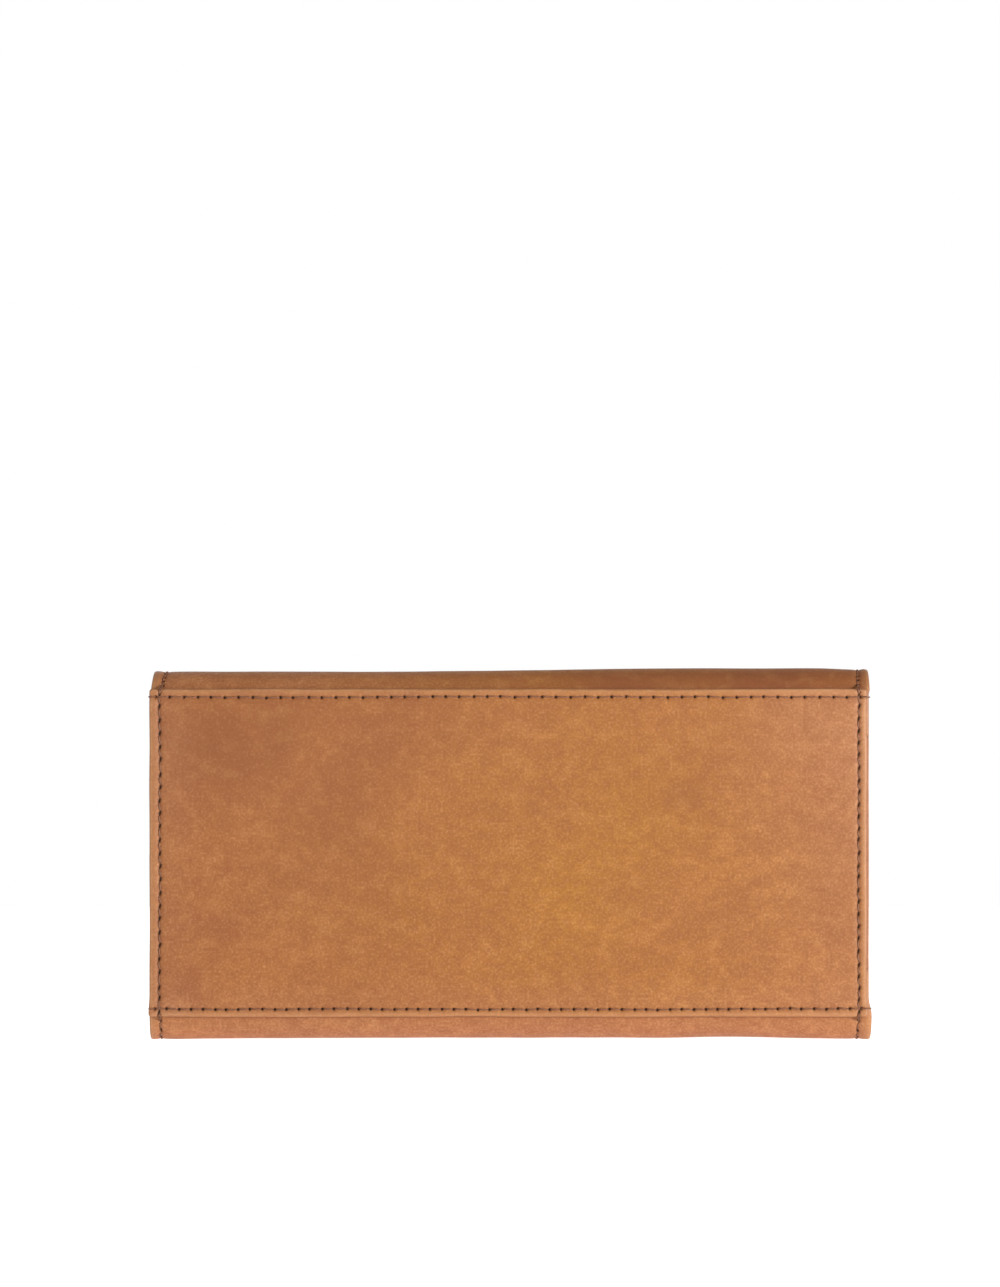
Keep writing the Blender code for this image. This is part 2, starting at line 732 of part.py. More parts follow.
def hang(name, pivot, pieces, parent=None):
    """An empty on a joint's axis that carries the pieces which move with the joint. Pieces
    are chosen by the start of their names."""
    empty = file_under(bpy.data.objects.new(name, None), WALLET)
    empty.empty_display_size = 5 * MM
    empty.location = pivot
    bpy.context.view_layer.update()
    if parent:
        carry(parent, empty)
    for obj in list(WALLET.objects):
        if obj.type != "EMPTY" and obj.name.startswith(pieces):
            carry(empty, obj)
    return empty


def carry(parent, child):
    child.parent = parent
    child.matrix_parent_inverse = parent.matrix_world.inverted()
    bpy.context.view_layer.update()


def make_joints():
    """Joint axes: both folds of the flap, the base fold shared by front and pocket, the zip."""
    in_crest = PIVOT_SHARE * BACK_CREST_RADIUS
    in_flap = PIVOT_SHARE * FRONT_CREST_RADIUS
    in_base = PIVOT_SHARE * FRONT_BASE_RADIUS
    back_fold = (0, WRAP_Y + in_crest, HEIGHT - in_crest)
    front_fold = (0, FLAP_Y - in_flap, HEIGHT - in_flap)
    on_crest = ("crest_leather", "crest_lining", "crest_seam")
    lift = hang("flap_lift_axis", back_fold, on_crest)
    hang("flap_unroll_axis", front_fold, ("flap_", "snap_cap", "snap_socket"), lift)
    base_fold = (0, FRONT_Y - in_base, in_base)
    hang("front_wall_axis", base_fold, ("front_", "snap_stud", "snap_post"))
    pocket = hang("pocket_axis", base_fold, ("coin_pocket", "zip_t", "zip_bottom"))
    slide = hang("zip_slide_origin", (SLIDER_X, BAG_Y, pull_axis_z()), ("zip_slider",), pocket)
    hang("pull_axis", (SLIDER_X, BAG_Y, pull_axis_z()), ("zip_pull",), slide)


clear_scene()
WALLET = new_collection("long_wallet")
CUTTERS = new_collection("cutters")
OUTER_LEATHER = material("outer_leather", COGNAC, 0.45)
BAG_LEATHER_FINISH = material("inner_leather", BAG_COGNAC, 0.6)
LINING_CLOTH = material("lining", LINING_BROWN, 0.9)
BOARD = material("board", BOARD_BUFF, 0.9)
THREAD = material("thread", THREAD_BROWN, 0.7)
TAPE = material("zip_tape", TAPE_BROWN, 0.9)
BRASS = material("old_brass", OLD_BRASS, 0.35, 1.0)

make_back()
make_base()
make_card_leaves()
make_crest()
make_flap()
make_front()
make_gussets()
make_coin_pocket()
make_zip()
make_slider()
make_pull()
make_joints()
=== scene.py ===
"""Looks of the long wallet: stitched leather sheets, linings, gussets, coin pocket and zip."""

from math import ceil, cos, hypot, inf, pi, radians, sin

import bmesh
import bpy
import numpy as np
from mathutils import Matrix, Vector, geometry, noise


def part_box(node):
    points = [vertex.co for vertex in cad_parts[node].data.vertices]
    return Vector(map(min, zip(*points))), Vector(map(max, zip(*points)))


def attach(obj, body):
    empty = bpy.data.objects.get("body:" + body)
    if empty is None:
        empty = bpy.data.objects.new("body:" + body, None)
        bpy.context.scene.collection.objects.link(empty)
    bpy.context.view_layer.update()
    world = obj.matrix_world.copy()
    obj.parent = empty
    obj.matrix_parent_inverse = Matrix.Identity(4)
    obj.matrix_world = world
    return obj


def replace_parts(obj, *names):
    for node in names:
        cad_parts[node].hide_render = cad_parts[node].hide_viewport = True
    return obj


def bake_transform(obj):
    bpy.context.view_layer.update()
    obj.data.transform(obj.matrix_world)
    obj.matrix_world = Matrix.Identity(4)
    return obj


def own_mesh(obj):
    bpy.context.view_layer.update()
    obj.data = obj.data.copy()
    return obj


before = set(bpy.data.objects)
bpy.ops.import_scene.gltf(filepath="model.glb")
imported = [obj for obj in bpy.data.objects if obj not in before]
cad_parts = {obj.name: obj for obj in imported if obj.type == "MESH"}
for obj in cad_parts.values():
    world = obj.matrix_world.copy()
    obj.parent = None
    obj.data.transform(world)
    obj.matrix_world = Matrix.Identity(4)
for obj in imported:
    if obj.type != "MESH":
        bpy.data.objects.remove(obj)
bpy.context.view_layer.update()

MM = 0.001

# Folds of the outer leather, outer radii
BACK_CREST_RADIUS = 8 * MM
FRONT_CREST_RADIUS = 7 * MM
BACK_BASE_RADIUS = 6.5 * MM
FRONT_BASE_RADIUS = 5 * MM
LEATHER = 1.2 * MM
LINING_DEPTH = 1.4 * MM
LINING = 0.6 * MM
GUSSET_LEATHER = 0.6 * MM
FOLD_GAP = 0.08 * MM

# The corner radius, in millimetres, where a sheet goes on as another piece
JOIN = 0.02

BACK_LOW, BACK_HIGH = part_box("back_panel")
TUCK_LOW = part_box("crest_tuck")[0]
FLAP_LOW, FLAP_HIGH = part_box("flap_leather")
FRONT_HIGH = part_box("front_leather")[1]
BASE_LOW, BASE_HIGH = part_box("base_leather")
POCKET_LOW, POCKET_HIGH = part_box("coin_pocket")
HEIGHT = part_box("crest_leather")[1].z
BACK_Y, WRAP_Y = BACK_LOW.y, TUCK_LOW.y
FRONT_Y, FLAP_Y = FRONT_HIGH.y, FLAP_HIGH.y


def srgb(red, green, blue):
    """A colour written as 0 to 255 display values, made linear."""
    def linear(value):
        value /= 255
        return value / 12.92 if value <= 0.04045 else ((value + 0.055) / 1.055) ** 2.4
    return (linear(red), linear(green), linear(blue), 1)


def smooth(t):
    t = np.clip(t, 0, 1)
    return t * t * (3 - 2 * t)


def ramp(x, start, length):
    """From 0 to 1 as x goes over this length from this start, both in millimetres."""
    return smooth((x / MM - start) / length)


def bell(x, width, power=2):
    """1 where x is 0, falling to 0 over about this width."""
    return np.exp(-(np.abs(x / width) ** power))


def clouds(u, s, seed):
    """Smooth noise at each place."""
    return np.array([noise.noise((a, b, seed)) for a, b in zip(u, s)])


def along_x(shift):
    """Shifts in (x, distance) that are only along x."""
    return np.column_stack([shift, 0 * shift])


def quarter(way):
    """Directions in a plane, turned a quarter to the left."""
    return np.stack([-way[:, 1], way[:, 0]], 1)


def unit(way):
    return way / np.maximum(np.linalg.norm(way, axis=1), 1e-9)[:, None]


def lengths(line):
    """The distance along a line to each of its points."""
    return np.concatenate([[0], np.cumsum(np.linalg.norm(np.diff(line, axis=0), axis=1))])


def closed(loop):
    return np.vstack([loop, loop[:1]])


def eased(line, times):
    """The line with its corners drawn smooth."""
    for _ in range(times):
        line[1:-1] = (line[:-2] + 2 * line[1:-1] + line[2:]) / 4
    return line


# Shapes ---------------------------------------------------------------------------------


class Run:
    """A path in the YZ plane of straight lines and arcs, read by the distance along it. The
    outer face is on the left of the direction of travel, seen with +Y right and +Z up."""

    def __init__(self, y, z, shift=None):
        self.parts, self.length, self.end, self.shift = [], 0.0, (y, z), shift

    def line(self, y, z):
        size = hypot(y - self.end[0], z - self.end[1])
        step = ((y - self.end[0]) / size, (z - self.end[1]) / size)
        self.parts.append((self.length, "line", self.end, step, 0.0))
        self.length, self.end = self.length + size, (y, z)
        return self

    def arc(self, y, z, start, end):
        """A clockwise arc about (y, z) between two angles in degrees."""
        radius = hypot(self.end[0] - y, self.end[1] - z)
        self.parts.append((self.length, "arc", (y, z), radians(start), radius))
        self.length += radius * radians(start - end)
        turn = radians(end)
        self.end = (y + radius * cos(turn), z + radius * sin(turn))
        return self

    def at(self, s):
        """(y, z, outward y, outward z) at each distance in s."""
        s = np.asarray(s, float)
        out = np.zeros((4, *s.shape))
        for i, (begin, kind, place, way, radius) in enumerate(self.parts):
            last = i + 1 == len(self.parts)
            end = inf if last else self.parts[i + 1][0]
            here = (s >= (-inf if i == 0 else begin)) & (s < end)
            along = s[here] - begin
            if kind == "line":
                out[0][here] = place[0] + along * way[0]
                out[1][here] = place[1] + along * way[1]
                out[2][here], out[3][here] = -way[1], way[0]
            else:
                turn = way - along / radius
                out[0][here] = place[0] + radius * np.cos(turn)
                out[1][here] = place[1] + radius * np.sin(turn)
                out[2][here], out[3][here] = np.cos(turn), np.sin(turn)
        return out

    def place(self, u, s, h):
        """Points in space for x, distance along and height over the outer face."""
        y, z, ny, nz = self.at(s)
        if self.shift:
            h = h + self.shift(u, nz)
        return np.stack([np.broadcast_to(u, y.shape), y + h * ny, z + h * nz], axis=-1)


class PocketRun(Run):
    """The middle of the pocket's wall, down one side and up the other. Towards the ends the
    two walls close on each other, where they are sewn."""

    def __init__(self, low, high, wall):
        self.half, self.wall = (high.y - low.y) / 2, wall
        self.middle, self.reach = (high.y + low.y) / 2, high.x
        radius = self.half - wall / 2
        super().__init__(self.middle + radius, high.z)
        self.line(self.middle + radius, low.z + self.half)
        self.arc(self.middle, low.z + self.half, 0, -180).line(self.middle - radius, high.z)

    def outer(self, u):
        """The outer face's distance from the middle at each x."""
        share = smooth((np.abs(u) - self.reach + 8.4 * MM) / (6.9 * MM))
        return self.half - share * (self.half - self.wall * 1.03)

    def place(self, u, s, h):
        y, z, ny, nz = self.at(s)
        pinch = (self.outer(u) - self.wall / 2) / (self.half - self.wall / 2)
        lift = h + self.wall / 2
        y = self.middle + (y - self.middle) * pinch
        return np.stack([np.broadcast_to(u, y.shape), y + lift * ny, z + lift * nz], axis=-1)


class SideRun:
    """A path in the XY plane through corners that are rounded off, read by the distance along
    it, for a folded side whose other direction is up."""

    def __init__(self, corners):
        self.line = eased(resample(np.array(corners, float), 0.25 * MM), 14)
        self.along = lengths(self.line)
        self.length = self.along[-1]
        self.table = np.hstack([self.line, quarter(unit(np.gradient(self.line, axis=0)))])

    def at(self, s):
        return np.stack([np.interp(s, self.along, column) for column in self.table.T])

    def place(self, u, s, h):
        x, y, nx, ny = self.at(s)
        return np.stack([x + h * nx, y + h * ny, np.broadcast_to(u, x.shape)], axis=-1)


def top_sag(u, nz):
    """The top edge isn't dead level: it dips towards the left end and a little at the right."""
    dip = 0.85 * ramp(-u, -50, 88) + 0.3 * ramp(u, 84, 9)
    return (0.35 - dip) * MM * np.clip(nz, 0, 1)


def base_lift(u, nz):
    """The base rests near its ends and rises a little between."""
    rise = 0.3 * (1 - np.abs(u / (97 * MM)) ** 4) + 0.3 * bell(u - 62 * MM, 14 * MM)
    return -rise * MM * np.clip(-nz, 0, 1)


def upper_run(depth=0.0):
    """From behind the back panel, up, over the top and down the front to the flap's edge."""
    back = (WRAP_Y + BACK_CREST_RADIUS, HEIGHT - BACK_CREST_RADIUS)
    front = (FLAP_Y - FRONT_CREST_RADIUS, HEIGHT - FRONT_CREST_RADIUS)
    run = Run(WRAP_Y + depth, TUCK_LOW.z, top_sag).line(WRAP_Y + depth, back[1]).arc(*back, 180, 90)
    run.line(front[0], HEIGHT - depth).arc(*front, 90, 0)
    return run.line(FLAP_Y - depth, FLAP_LOW.z)


def lower_run(depth=0.0):
    """From the front wall's top edge down, under the base and up behind the back panel."""
    front = (FRONT_Y - FRONT_BASE_RADIUS, FRONT_BASE_RADIUS)
    back = (WRAP_Y + BACK_BASE_RADIUS, BACK_BASE_RADIUS)
    run = Run(FRONT_Y - depth, FRONT_HIGH.z, base_lift).line(FRONT_Y - depth, front[1])
    run.arc(*front, 0, -90).line(back[0], depth).arc(*back, -90, -180)
    return run.line(WRAP_Y + depth, BASE_HIGH.z)


def wobble(along, size, length, seed):
    """A slow random wander along an edge or a seam."""
    return size * clouds(along / length, np.full(len(along), 7.3 * seed), 0.5)


def outline(u0, u1, s0, s1, corners=(1.2, 1.2, 1.2, 1.2), wander=0.12, seed=1, warp=None):
    """A closed counterclockwise outline in (x, distance), with rounded, hand-cut edges.
    Corners are radii in millimetres, from (u0, s0) on. warp gives a shift of each point."""
    middle = np.array([(u0 + u1) / 2, (s0 + s1) / 2])
    points = []
    for i, place in enumerate([(u0, s0), (u1, s0), (u1, s1), (u0, s1)]):
        radius = corners[i] * MM
        centre = place + np.sign(middle - place) * radius
        count = max(4, int(radius / (0.35 * MM)))
        for k in range(count + 1):
            turn = pi * (1 + i / 2 + k / (2 * count))
            points.append(centre + radius * np.array([cos(turn), sin(turn)]))
    points = resample(np.array(points + points[:1]), 1.0 * MM)[:-1]
    for i, place in enumerate([(u0, s0), (u1, s0), (u1, s1), (u0, s1)]):
        if corners[i] < 0.1:
            points[np.argmin(np.hypot(*(points - place).T))] = place
    out = points - middle
    spread = np.abs(out) / np.array([(u1 - u0) / 2, (s1 - s0) / 2])
    side = np.where(spread[:, :1] > spread[:, 1:], [[1.0, 0.0]], [[0.0, 1.0]]) * np.sign(out)
    run = (points * side[:, ::-1]).sum(axis=1) + 3 * np.arctan2(side[:, 1], side[:, 0])
    ease = np.clip((1 - spread.min(axis=1)) * 8, 0, 1)
    points = points + side * (wobble(run, wander * MM, 14 * MM, seed) * ease)[:, None]
    return points + warp(points) if warp else points


def ring_about(u, s, radius, count=28):
    """A round hole's edge, clockwise."""
    turn = -2 * pi * np.arange(count) / count
    return np.column_stack([u + radius * np.cos(turn), s + radius * np.sin(turn)])


def resample(line, step):
    """The line with points at most step apart, keeping its shape."""
    kept = [line[0]]
    for a, b in zip(line[:-1], line[1:]):
        count = max(1, ceil(np.linalg.norm(b - a) / step))
        kept += [a + (b - a) * (k + 1) / count for k in range(count)]
    return np.array(kept)


def distance(points, line):
    """Each point's distance to a polyline."""
    best = np.full(len(points), 1e3)
    a, way = line[:-1], np.diff(line, axis=0)
    size = np.maximum((way**2).sum(axis=1), 1e-18)
    for block in range(0, len(points), 2000):
        p = points[block:block + 2000, None]
        t = np.clip(((p - a) * way).sum(axis=2) / size, 0, 1)
        gap = np.sqrt((((a + way * t[..., None]) - p) ** 2).sum(axis=2))
        best[block:block + 2000] = gap.min(axis=1)
    return best


class Seam:
    """A row of stitches along a path in (x, distance): holes, and threads between them.
    Round holes hold a thread that runs level; slots are cut on the slant. The pitch and the
    gaps at the ends are in millimetres."""

    def __init__(self, path, pitch, slots=False, seed=0, ends=(0.0, 0.0), lean=1):
        self.path = resample(np.array(path, float), 0.6 * MM)
        random = np.random.default_rng(seed)
        along = lengths(self.path)
        room = along[-1] - sum(ends) * MM
        count = max(1, round(room / (pitch * MM)))
        marks = ends[0] * MM + room * np.arange(count + 1) / count
        marks[1:-1] += random.normal(0, 0.045 * pitch * MM, count - 1)

        def at(shift):
            return np.stack([np.interp(marks + shift, along, c) for c in self.path.T], 1)

        self.way = unit(at(0.5 * MM) - at(-0.5 * MM))
        self.side = quarter(self.way)
        self.marks = at(0) + self.side * random.normal(0, 0.07 * MM, (count + 1, 1))
        self.slots = slots
        tilt = radians(13) * lean if slots else 0.0
        turn = np.array([[cos(tilt), sin(tilt)], [-sin(tilt), cos(tilt)]])
        self.long = self.way @ turn
        self.wide = quarter(self.long)
        self.half = (0.82 * MM, 0.29 * MM) if slots else (0.44 * MM, 0.40 * MM)

    def reach(self, points):
        """How far each point is from the nearest hole, in hole sizes."""
        best = np.full(len(points), 99.0)
        for mark, long, wide in zip(self.marks, self.long, self.wide):
            near = np.abs(points - mark).max(axis=1) < 2.5 * MM
            off = points[near] - mark
            size = np.hypot(off @ long / self.half[0], off @ wide / self.half[1])
            best[near] = np.minimum(best[near], size)
        return best

    def rings(self):
        """Extra points round every hole."""
        points = []
        for mark, long, wide in zip(self.marks, self.long * self.half[0], self.wide * self.half[1]):
            points.append(mark)
            for share in (0.45, 0.8, 1.15, 1.7):
                for turn in 2 * pi * (np.arange(9) + share) / 9:
                    points.append(mark + share * (long * cos(turn) + wide * sin(turn)))
        return np.array(points)

    def threads(self):
        """The line of each stitch, as (x, distance, height) points."""
        lines = []
        t = np.linspace(0, 1, 13)
        drop = np.abs(2 * t - 1) ** 5
        for i in range(len(self.marks) - 1):
            side = self.side[i]
            if self.slots:
                a = self.marks[i] + self.long[i] * self.half[0] * 0.92
                b = self.marks[i + 1] - self.long[i + 1] * self.half[0] * 0.92
            else:
                a = self.marks[i] + self.way[i] * 0.36 * MM + side * 0.10 * MM
                b = self.marks[i + 1] - self.way[i + 1] * 0.40 * MM - side * 0.08 * MM
            sway = 0.02 * MM * np.sin(pi * t * 2) * (1 if i % 2 else -1)
            flat = a + (b - a) * t[:, None] + side * sway[:, None]
            lines.append(np.column_stack([flat, (-0.13 - 0.5 * drop) * MM]))
        return lines


def cut_edges(loops, join):
    """The lines along which a sheet was really cut: all but the edge at the distance join,
    where the same leather goes on as another piece."""
    lines = [closed(loop) for loop in loops]
    if join is not None:
        on = np.abs(loops[0][:, 1] - join) < 0.2 * MM
        first = np.flatnonzero(on & ~np.roll(on, 1))[0]
        turned = np.roll(loops[0], -first, axis=0)
        kept = np.flatnonzero(~np.roll(on, -first))
        lines[0] = np.vstack([turned[kept[0] - 1:], turned[:1]])
    return lines


def shaped_height(points, loops, seams, seed, soft=0.12, join=None):
    """(height, marks) of an outer face. Marks are hole, painted near-black for the shade in it;
    cut edge; and margin, painted lighter as partly burnish, partly painted highlight; each 0 to 1.
    """
    rim = np.min([distance(points, line) for line in cut_edges(loops, join)], axis=0)
    radius = 0.4 * MM
    inside = np.clip(radius - rim, 0, radius)
    height = -(radius - np.sqrt(radius**2 - inside**2))
    hole = np.zeros(len(points))
    seam_gap = np.full(len(points), 1.0)
    for seam in seams:
        seam_gap = np.minimum(seam_gap, distance(points, seam.path))
        size = seam.reach(points)
        height -= 0.42 * MM * np.exp(-(size**4) * 0.7) + 0.05 * MM * bell(size, 2.4)
        # Holes are painted near-black in the material: painted shade inside each hole.
        hole = np.maximum(hole, bell(size, 0.98, 6))
    height -= 0.17 * MM * bell(seam_gap, 0.5 * MM)
    margin_burnish_and_highlight = np.zeros(len(points))
    if seams:
        # Margin between seam and edge, painted lighter: partly burnish, partly painted highlight
        # where the puffed edge catches light.
        margin_burnish_and_highlight = 0.45 * bell(rim, 2.0 * MM, 4) + 0.55 * bell(rim - 0.4 * MM, 0.4 * MM)
        height += 0.17 * MM * bell(rim - 1.3 * MM, 0.75 * MM)
        height -= 0.10 * MM * bell(seam_gap, 1.6 * MM)
    u, s = points.T
    slow = clouds(u / 0.034, s / 0.027, seed) + 0.5 * clouds(u / 0.012, s / 0.012, seed)
    height += soft * MM * slow * np.clip(rim / (6 * MM), 0.25, 1)
    return height, np.stack([hole, bell(rim, 0.22 * MM), margin_burnish_and_highlight], axis=1)


def lattice(loops, run, step, seams):
    """Points for a sheet: its edges first, then rings inside them, seams and a grid."""
    sets = []
    for edge in loops:
        inward = quarter(unit(np.roll(edge, -1, axis=0) - np.roll(edge, 1, axis=0)))
        sets += [edge + inward * inset * MM for inset in (0.12, 0.3, 0.55, 0.95)]
    for seam in seams:
        line = resample(seam.path, 0.7 * MM)
        side = quarter(unit(np.gradient(line, axis=0)))
        gaps = (-1.5, -0.95, -0.55, -0.25, 0.0, 0.25, 0.55, 0.95, 1.5)
        strips = np.vstack([line + side * gap * MM for gap in gaps])
        sets += [strips[seam.reach(strips) > 1.9], seam.rings()]
    low, high = loops[0].min(axis=0), loops[0].max(axis=0)
    rows, s = [], low[1] + 1.2 * MM
    while s < high[1] - 1.0 * MM:
        rows.append(s)
        here = run.at(np.array([s, s + 1.5 * MM]))
        bends = abs(here[2][1] - here[2][0]) + abs(here[3][1] - here[3][0]) > 1e-4
        s += min(step, 0.8 * MM) if bends else step
    grid = np.array([(u, s) for s in rows for u in np.arange(low[0] + step, high[0], step)])
    for seam in seams:
        grid = grid[distance(grid, seam.path) > 1.8 * MM]
    for edge in loops:
        grid = grid[distance(grid, closed(edge)) > 1.3 * MM]
    inner = np.vstack([*sets, grid])
    for edge in loops:
        inner = inner[distance(inner, closed(edge)) > 0.06 * MM]
    return [*loops, inner]


def triangulate(sets, loops):
    """Delaunay triangles inside the first loop and outside the others: points, triangles and
    for each loop its points' places among them."""
    points = np.vstack(sets)
    edges, starts, start = [], [], 0
    for loop in loops:
        count = len(loop)
        edges += [(start + i, start + (i + 1) % count) for i in range(count)]
        starts.append((start, count))
        start += count
    outer = [list(range(len(loops[0])))]
    found = geometry.delaunay_2d_cdt([tuple(p) for p in points * 1000], edges, outer, 1, 1e-4)
    flat = np.array([tuple(v) for v in found[0]]) / 1000
    faces = np.array([f for f in found[2] if len(f) == 3])
    middles = flat[faces].mean(axis=1)
    for loop in loops[1:]:
        centre = loop.mean(axis=0)
        radius = np.hypot(*(loop[0] - centre))
        faces = faces[np.hypot(*(middles - centre).T) > radius]
        middles = flat[faces].mean(axis=1)
    order = {}
    for i, ids in enumerate(found[3]):
        for origin in ids:
            order.setdefault(int(origin), i)
    rims = [[order[first + k] for k in range(count)] for first, count in starts]
    return flat, faces, rims


def linked(name, data):
    """A new object, put into the scene."""
    made = bpy.data.objects.new(name, data)
    bpy.context.scene.collection.objects.link(made)
    return made


def mesh_piece(name, points, faces, look, **attributes):
    """A new piece. Its look is a material and the record's slot; only the material is used."""
    finish, slot = look
    mesh = bpy.data.meshes.new(name)
    mesh.from_pydata([tuple(p) for p in points], [], [tuple(f) for f in faces])
    mesh.polygons.foreach_set("use_smooth", [True] * len(mesh.polygons))
    for key, values in attributes.items():
        made = mesh.attributes.new(key, "FLOAT_VECTOR", "POINT")
        made.data.foreach_set("vector", np.asarray(values, np.float32).ravel())
    shape = bmesh.new()
    shape.from_mesh(mesh)
    bmesh.ops.recalc_face_normals(shape, faces=shape.faces)
    shape.to_mesh(mesh)
    shape.free()
    mesh.materials.append(finish)
    piece = linked(name, mesh)
    return piece


def sheet(name, run, edge, look, seams=(), thickness=LEATHER, step=2.4 * MM, seed=0.0,
          soft=0.12, relief=None, bores=(), patina=None, join=None):
    """A cut sheet of leather or cloth bent along a run, with worked edges and seams."""
    loops = [edge, *(ring_about(*bore) for bore in bores)]
    flat, faces, rims = triangulate(lattice(loops, run, step, seams), loops)
    height, marks = shaped_height(flat, loops, seams, seed, soft, join)
    if relief:
        height = height + relief(flat)
    count = len(flat)
    # Per point: darkening with painted shade, painted sheen and highlight, and golden tone.
    tones = patina(*flat.T) if patina else np.zeros((count, 3))

    def layer(at, h, shade, mark, tone):
        return (run.place(*at.T, np.broadcast_to(h, len(at))),
                np.column_stack([at, np.full(len(at), shade)]), mark, tone)

    layers = [layer(flat, height, seed, marks, tones),
              layer(flat, -thickness, seed, np.zeros((count, 3)), tones)]
    tris = [tuple(f) for f in faces] + [tuple(f[::-1] + count) for f in faces]
    base = 2 * count
    for rim in rims:
        size = len(rim)
        cut = np.tile([0.0, 1.0, 0.0], (size, 1))
        for share in (0.45, 0.75):
            low = -thickness * share - 0.2 * MM * (1 - share)
            layers.append(layer(flat[rim], low, seed + share, cut, tones[rim]))
        levels = [rim, list(range(base, base + size)),
                  list(range(base + size, base + 2 * size)), [r + count for r in rim]]
        base += 2 * size
        for above, below in zip(levels[:-1], levels[1:]):
            tris += [(above[k], below[k], below[(k + 1) % size], above[(k + 1) % size])
                     for k in range(size)]
    points, rest, marks, patinas = (np.vstack(rows) for rows in zip(*layers))
    return mesh_piece(name, points, tris, look, rest=rest, marks=marks, patina=patinas)


def threads(name, lines, radius, sides=8):
    """Threads along lines of points in space, each with its outward direction."""
    points, faces, ply = [], [], []
    for centre, outward in lines:
        way = unit(np.gradient(centre, axis=0))
        side = unit(np.cross(way, outward))
        up = np.cross(side, way)
        base, last = len(points), len(points) + (len(centre) - 1) * sides
        for k, along in enumerate(lengths(centre)):
            for j in range(sides):
                turn = 2 * pi * j / sides
                points.append(centre[k] + radius * (side[k] * cos(turn) + up[k] * sin(turn)))
                ply.append((along, j / sides, base * 0.001))
        for k in range(base, last, sides):
            for j in range(sides):
                a, b = k + j, k + (j + 1) % sides
                faces.append((a, b, b + sides, a + sides))
        faces.append(tuple(base + j for j in reversed(range(sides))))
        faces.append(tuple(last + j for j in range(sides)))
    return mesh_piece(name, points, faces, THREAD, ply=ply)


def stitches(name, run, seams, radius=0.21 * MM, more=()):
    """The threads of some seams, and any that cross an edge, as one piece."""
    lines = list(more)
    for seam in seams:
        for line in seam.threads():
            centre = run.place(line[:, 0], line[:, 1], line[:, 2])
            _, _, ny, nz = run.at(line[:, 1])
            lines.append((centre, np.column_stack([0 * ny, ny, nz])))
    return threads(name, lines, radius)


def crossing(corners, outward):
    """A thread drawn tight through corners in space."""
    line = eased(resample(np.array(corners, float), 0.25 * MM), 6)
    return line, np.tile(np.array(outward, float), (len(line), 1))


def lathe(name, profile, centre, steps=64):
    """A turned brass piece about an axis along Y, from (radius, y) points in millimetres."""
    points, faces = [], []
    count = len(profile)
    for k in range(steps):
        turn = 2 * pi * k / steps
        points += [(radius * MM * cos(turn), centre[0] + along * MM,
                    centre[1] + radius * MM * sin(turn)) for radius, along in profile]
        for i in range(count - 1):
            a, b = k * count + i, (k + 1) % steps * count + i
            faces.append((a, a + 1, b + 1, b))
    piece = mesh_piece(name, points, faces, BRASS)
    piece.modifiers.new("weld", "WELD").merge_threshold = 1e-6
    bevel = piece.modifiers.new("bevel", "BEVEL")
    bevel.width, bevel.segments, bevel.harden_normals = 0.08 * MM, 3, True
    piece.modifiers.new("clean", "WELD").merge_threshold = 4e-6
    return piece


# Materials ------------------------------------------------------------------------------


class Nodes:
    """A material's node tree, built from short calls. Sockets and numbers both work."""

    def __init__(self, name):
        self.material = bpy.data.materials.new(name)
        self.material.use_nodes = True
        self.tree = self.material.node_tree
        self.shader = self.tree.nodes["Principled BSDF"]

    def node(self, kind, values=(), **settings):
        made = self.tree.nodes.new(kind)
        for key, value in settings.items():
            setattr(made, key, value)
        for key, value in dict(values).items():
            self.put(made.inputs[key], value)
        return made.outputs

    def put(self, socket, value):
        if isinstance(value, bpy.types.NodeSocket):
            self.tree.links.new(value, socket)
        else:
            socket.default_value = value

    def set(self, **values):
        for key, value in values.items():
            self.put(self.shader.inputs[key.replace("_", " ")], value)
        return self.material

    def math(self, operation, a, b=0.0):
        return self.node("ShaderNodeMath", {0: a, 1: b}, operation=operation)[0]

    def times(self, a, b):
        return self.math("MULTIPLY", a, b)

    def mixed(self, a, b, share):
        """Two values added, the first by 1 - share and the second by share."""
        return self.math("ADD", self.times(a, 1 - share), self.times(b, share))

    def attribute(self, name):
        return self.node("ShaderNodeAttribute", attribute_name=name)["Vector"]

    def place(self):
        return self.node("ShaderNodeTexCoord")["Object"]

    def split(self, vector):
        return self.node("ShaderNodeSeparateXYZ", {"Vector": vector})

    def scaled(self, vector, scale, turn=0.0, move=(0, 0, 0)):
        """The vector stretched by per-axis scales, then turned about Z."""
        values = {"Vector": vector, "Scale": scale, "Rotation": (0, 0, turn), "Location": move}
        return self.node("ShaderNodeMapping", values)[0]

    def noise(self, vector, scale, detail=3.0, roughness=0.5, distortion=0.0):
        values = {"Vector": vector, "Scale": scale, "Detail": detail, "Roughness": roughness,
                  "Distortion": distortion}
        return self.node("ShaderNodeTexNoise", values)["Fac"]

    def cells(self, vector, scale):
        values = {"Vector": vector, "Scale": scale}
        return self.node("ShaderNodeTexVoronoi", values, feature="DISTANCE_TO_EDGE")["Distance"]

    def span(self, value, low, high, to_low=0.0, to_high=1.0):
        values = {"Value": value, "From Min": low, "From Max": high, "To Min": to_low,
                  "To Max": to_high}
        return self.node("ShaderNodeMapRange", values)["Result"]

    def layers(self, tone, *others):
        """A colour and others laid over it, each (share, red, green, blue), as display values."""
        tone = srgb(*tone)
        for share, *colour in others:
            values = {0: share, 6: tone, 7: srgb(*colour)}
            tone = self.node("ShaderNodeMix", values, data_type="RGBA", clamp_factor=True)[2]
        return tone

    def bump(self, height, depth, strength, normal=None):
        values = {"Height": height, "Distance": depth, "Strength": strength}
        if normal is not None:
            values["Normal"] = normal
        return self.node("ShaderNodeBump", values)["Normal"]


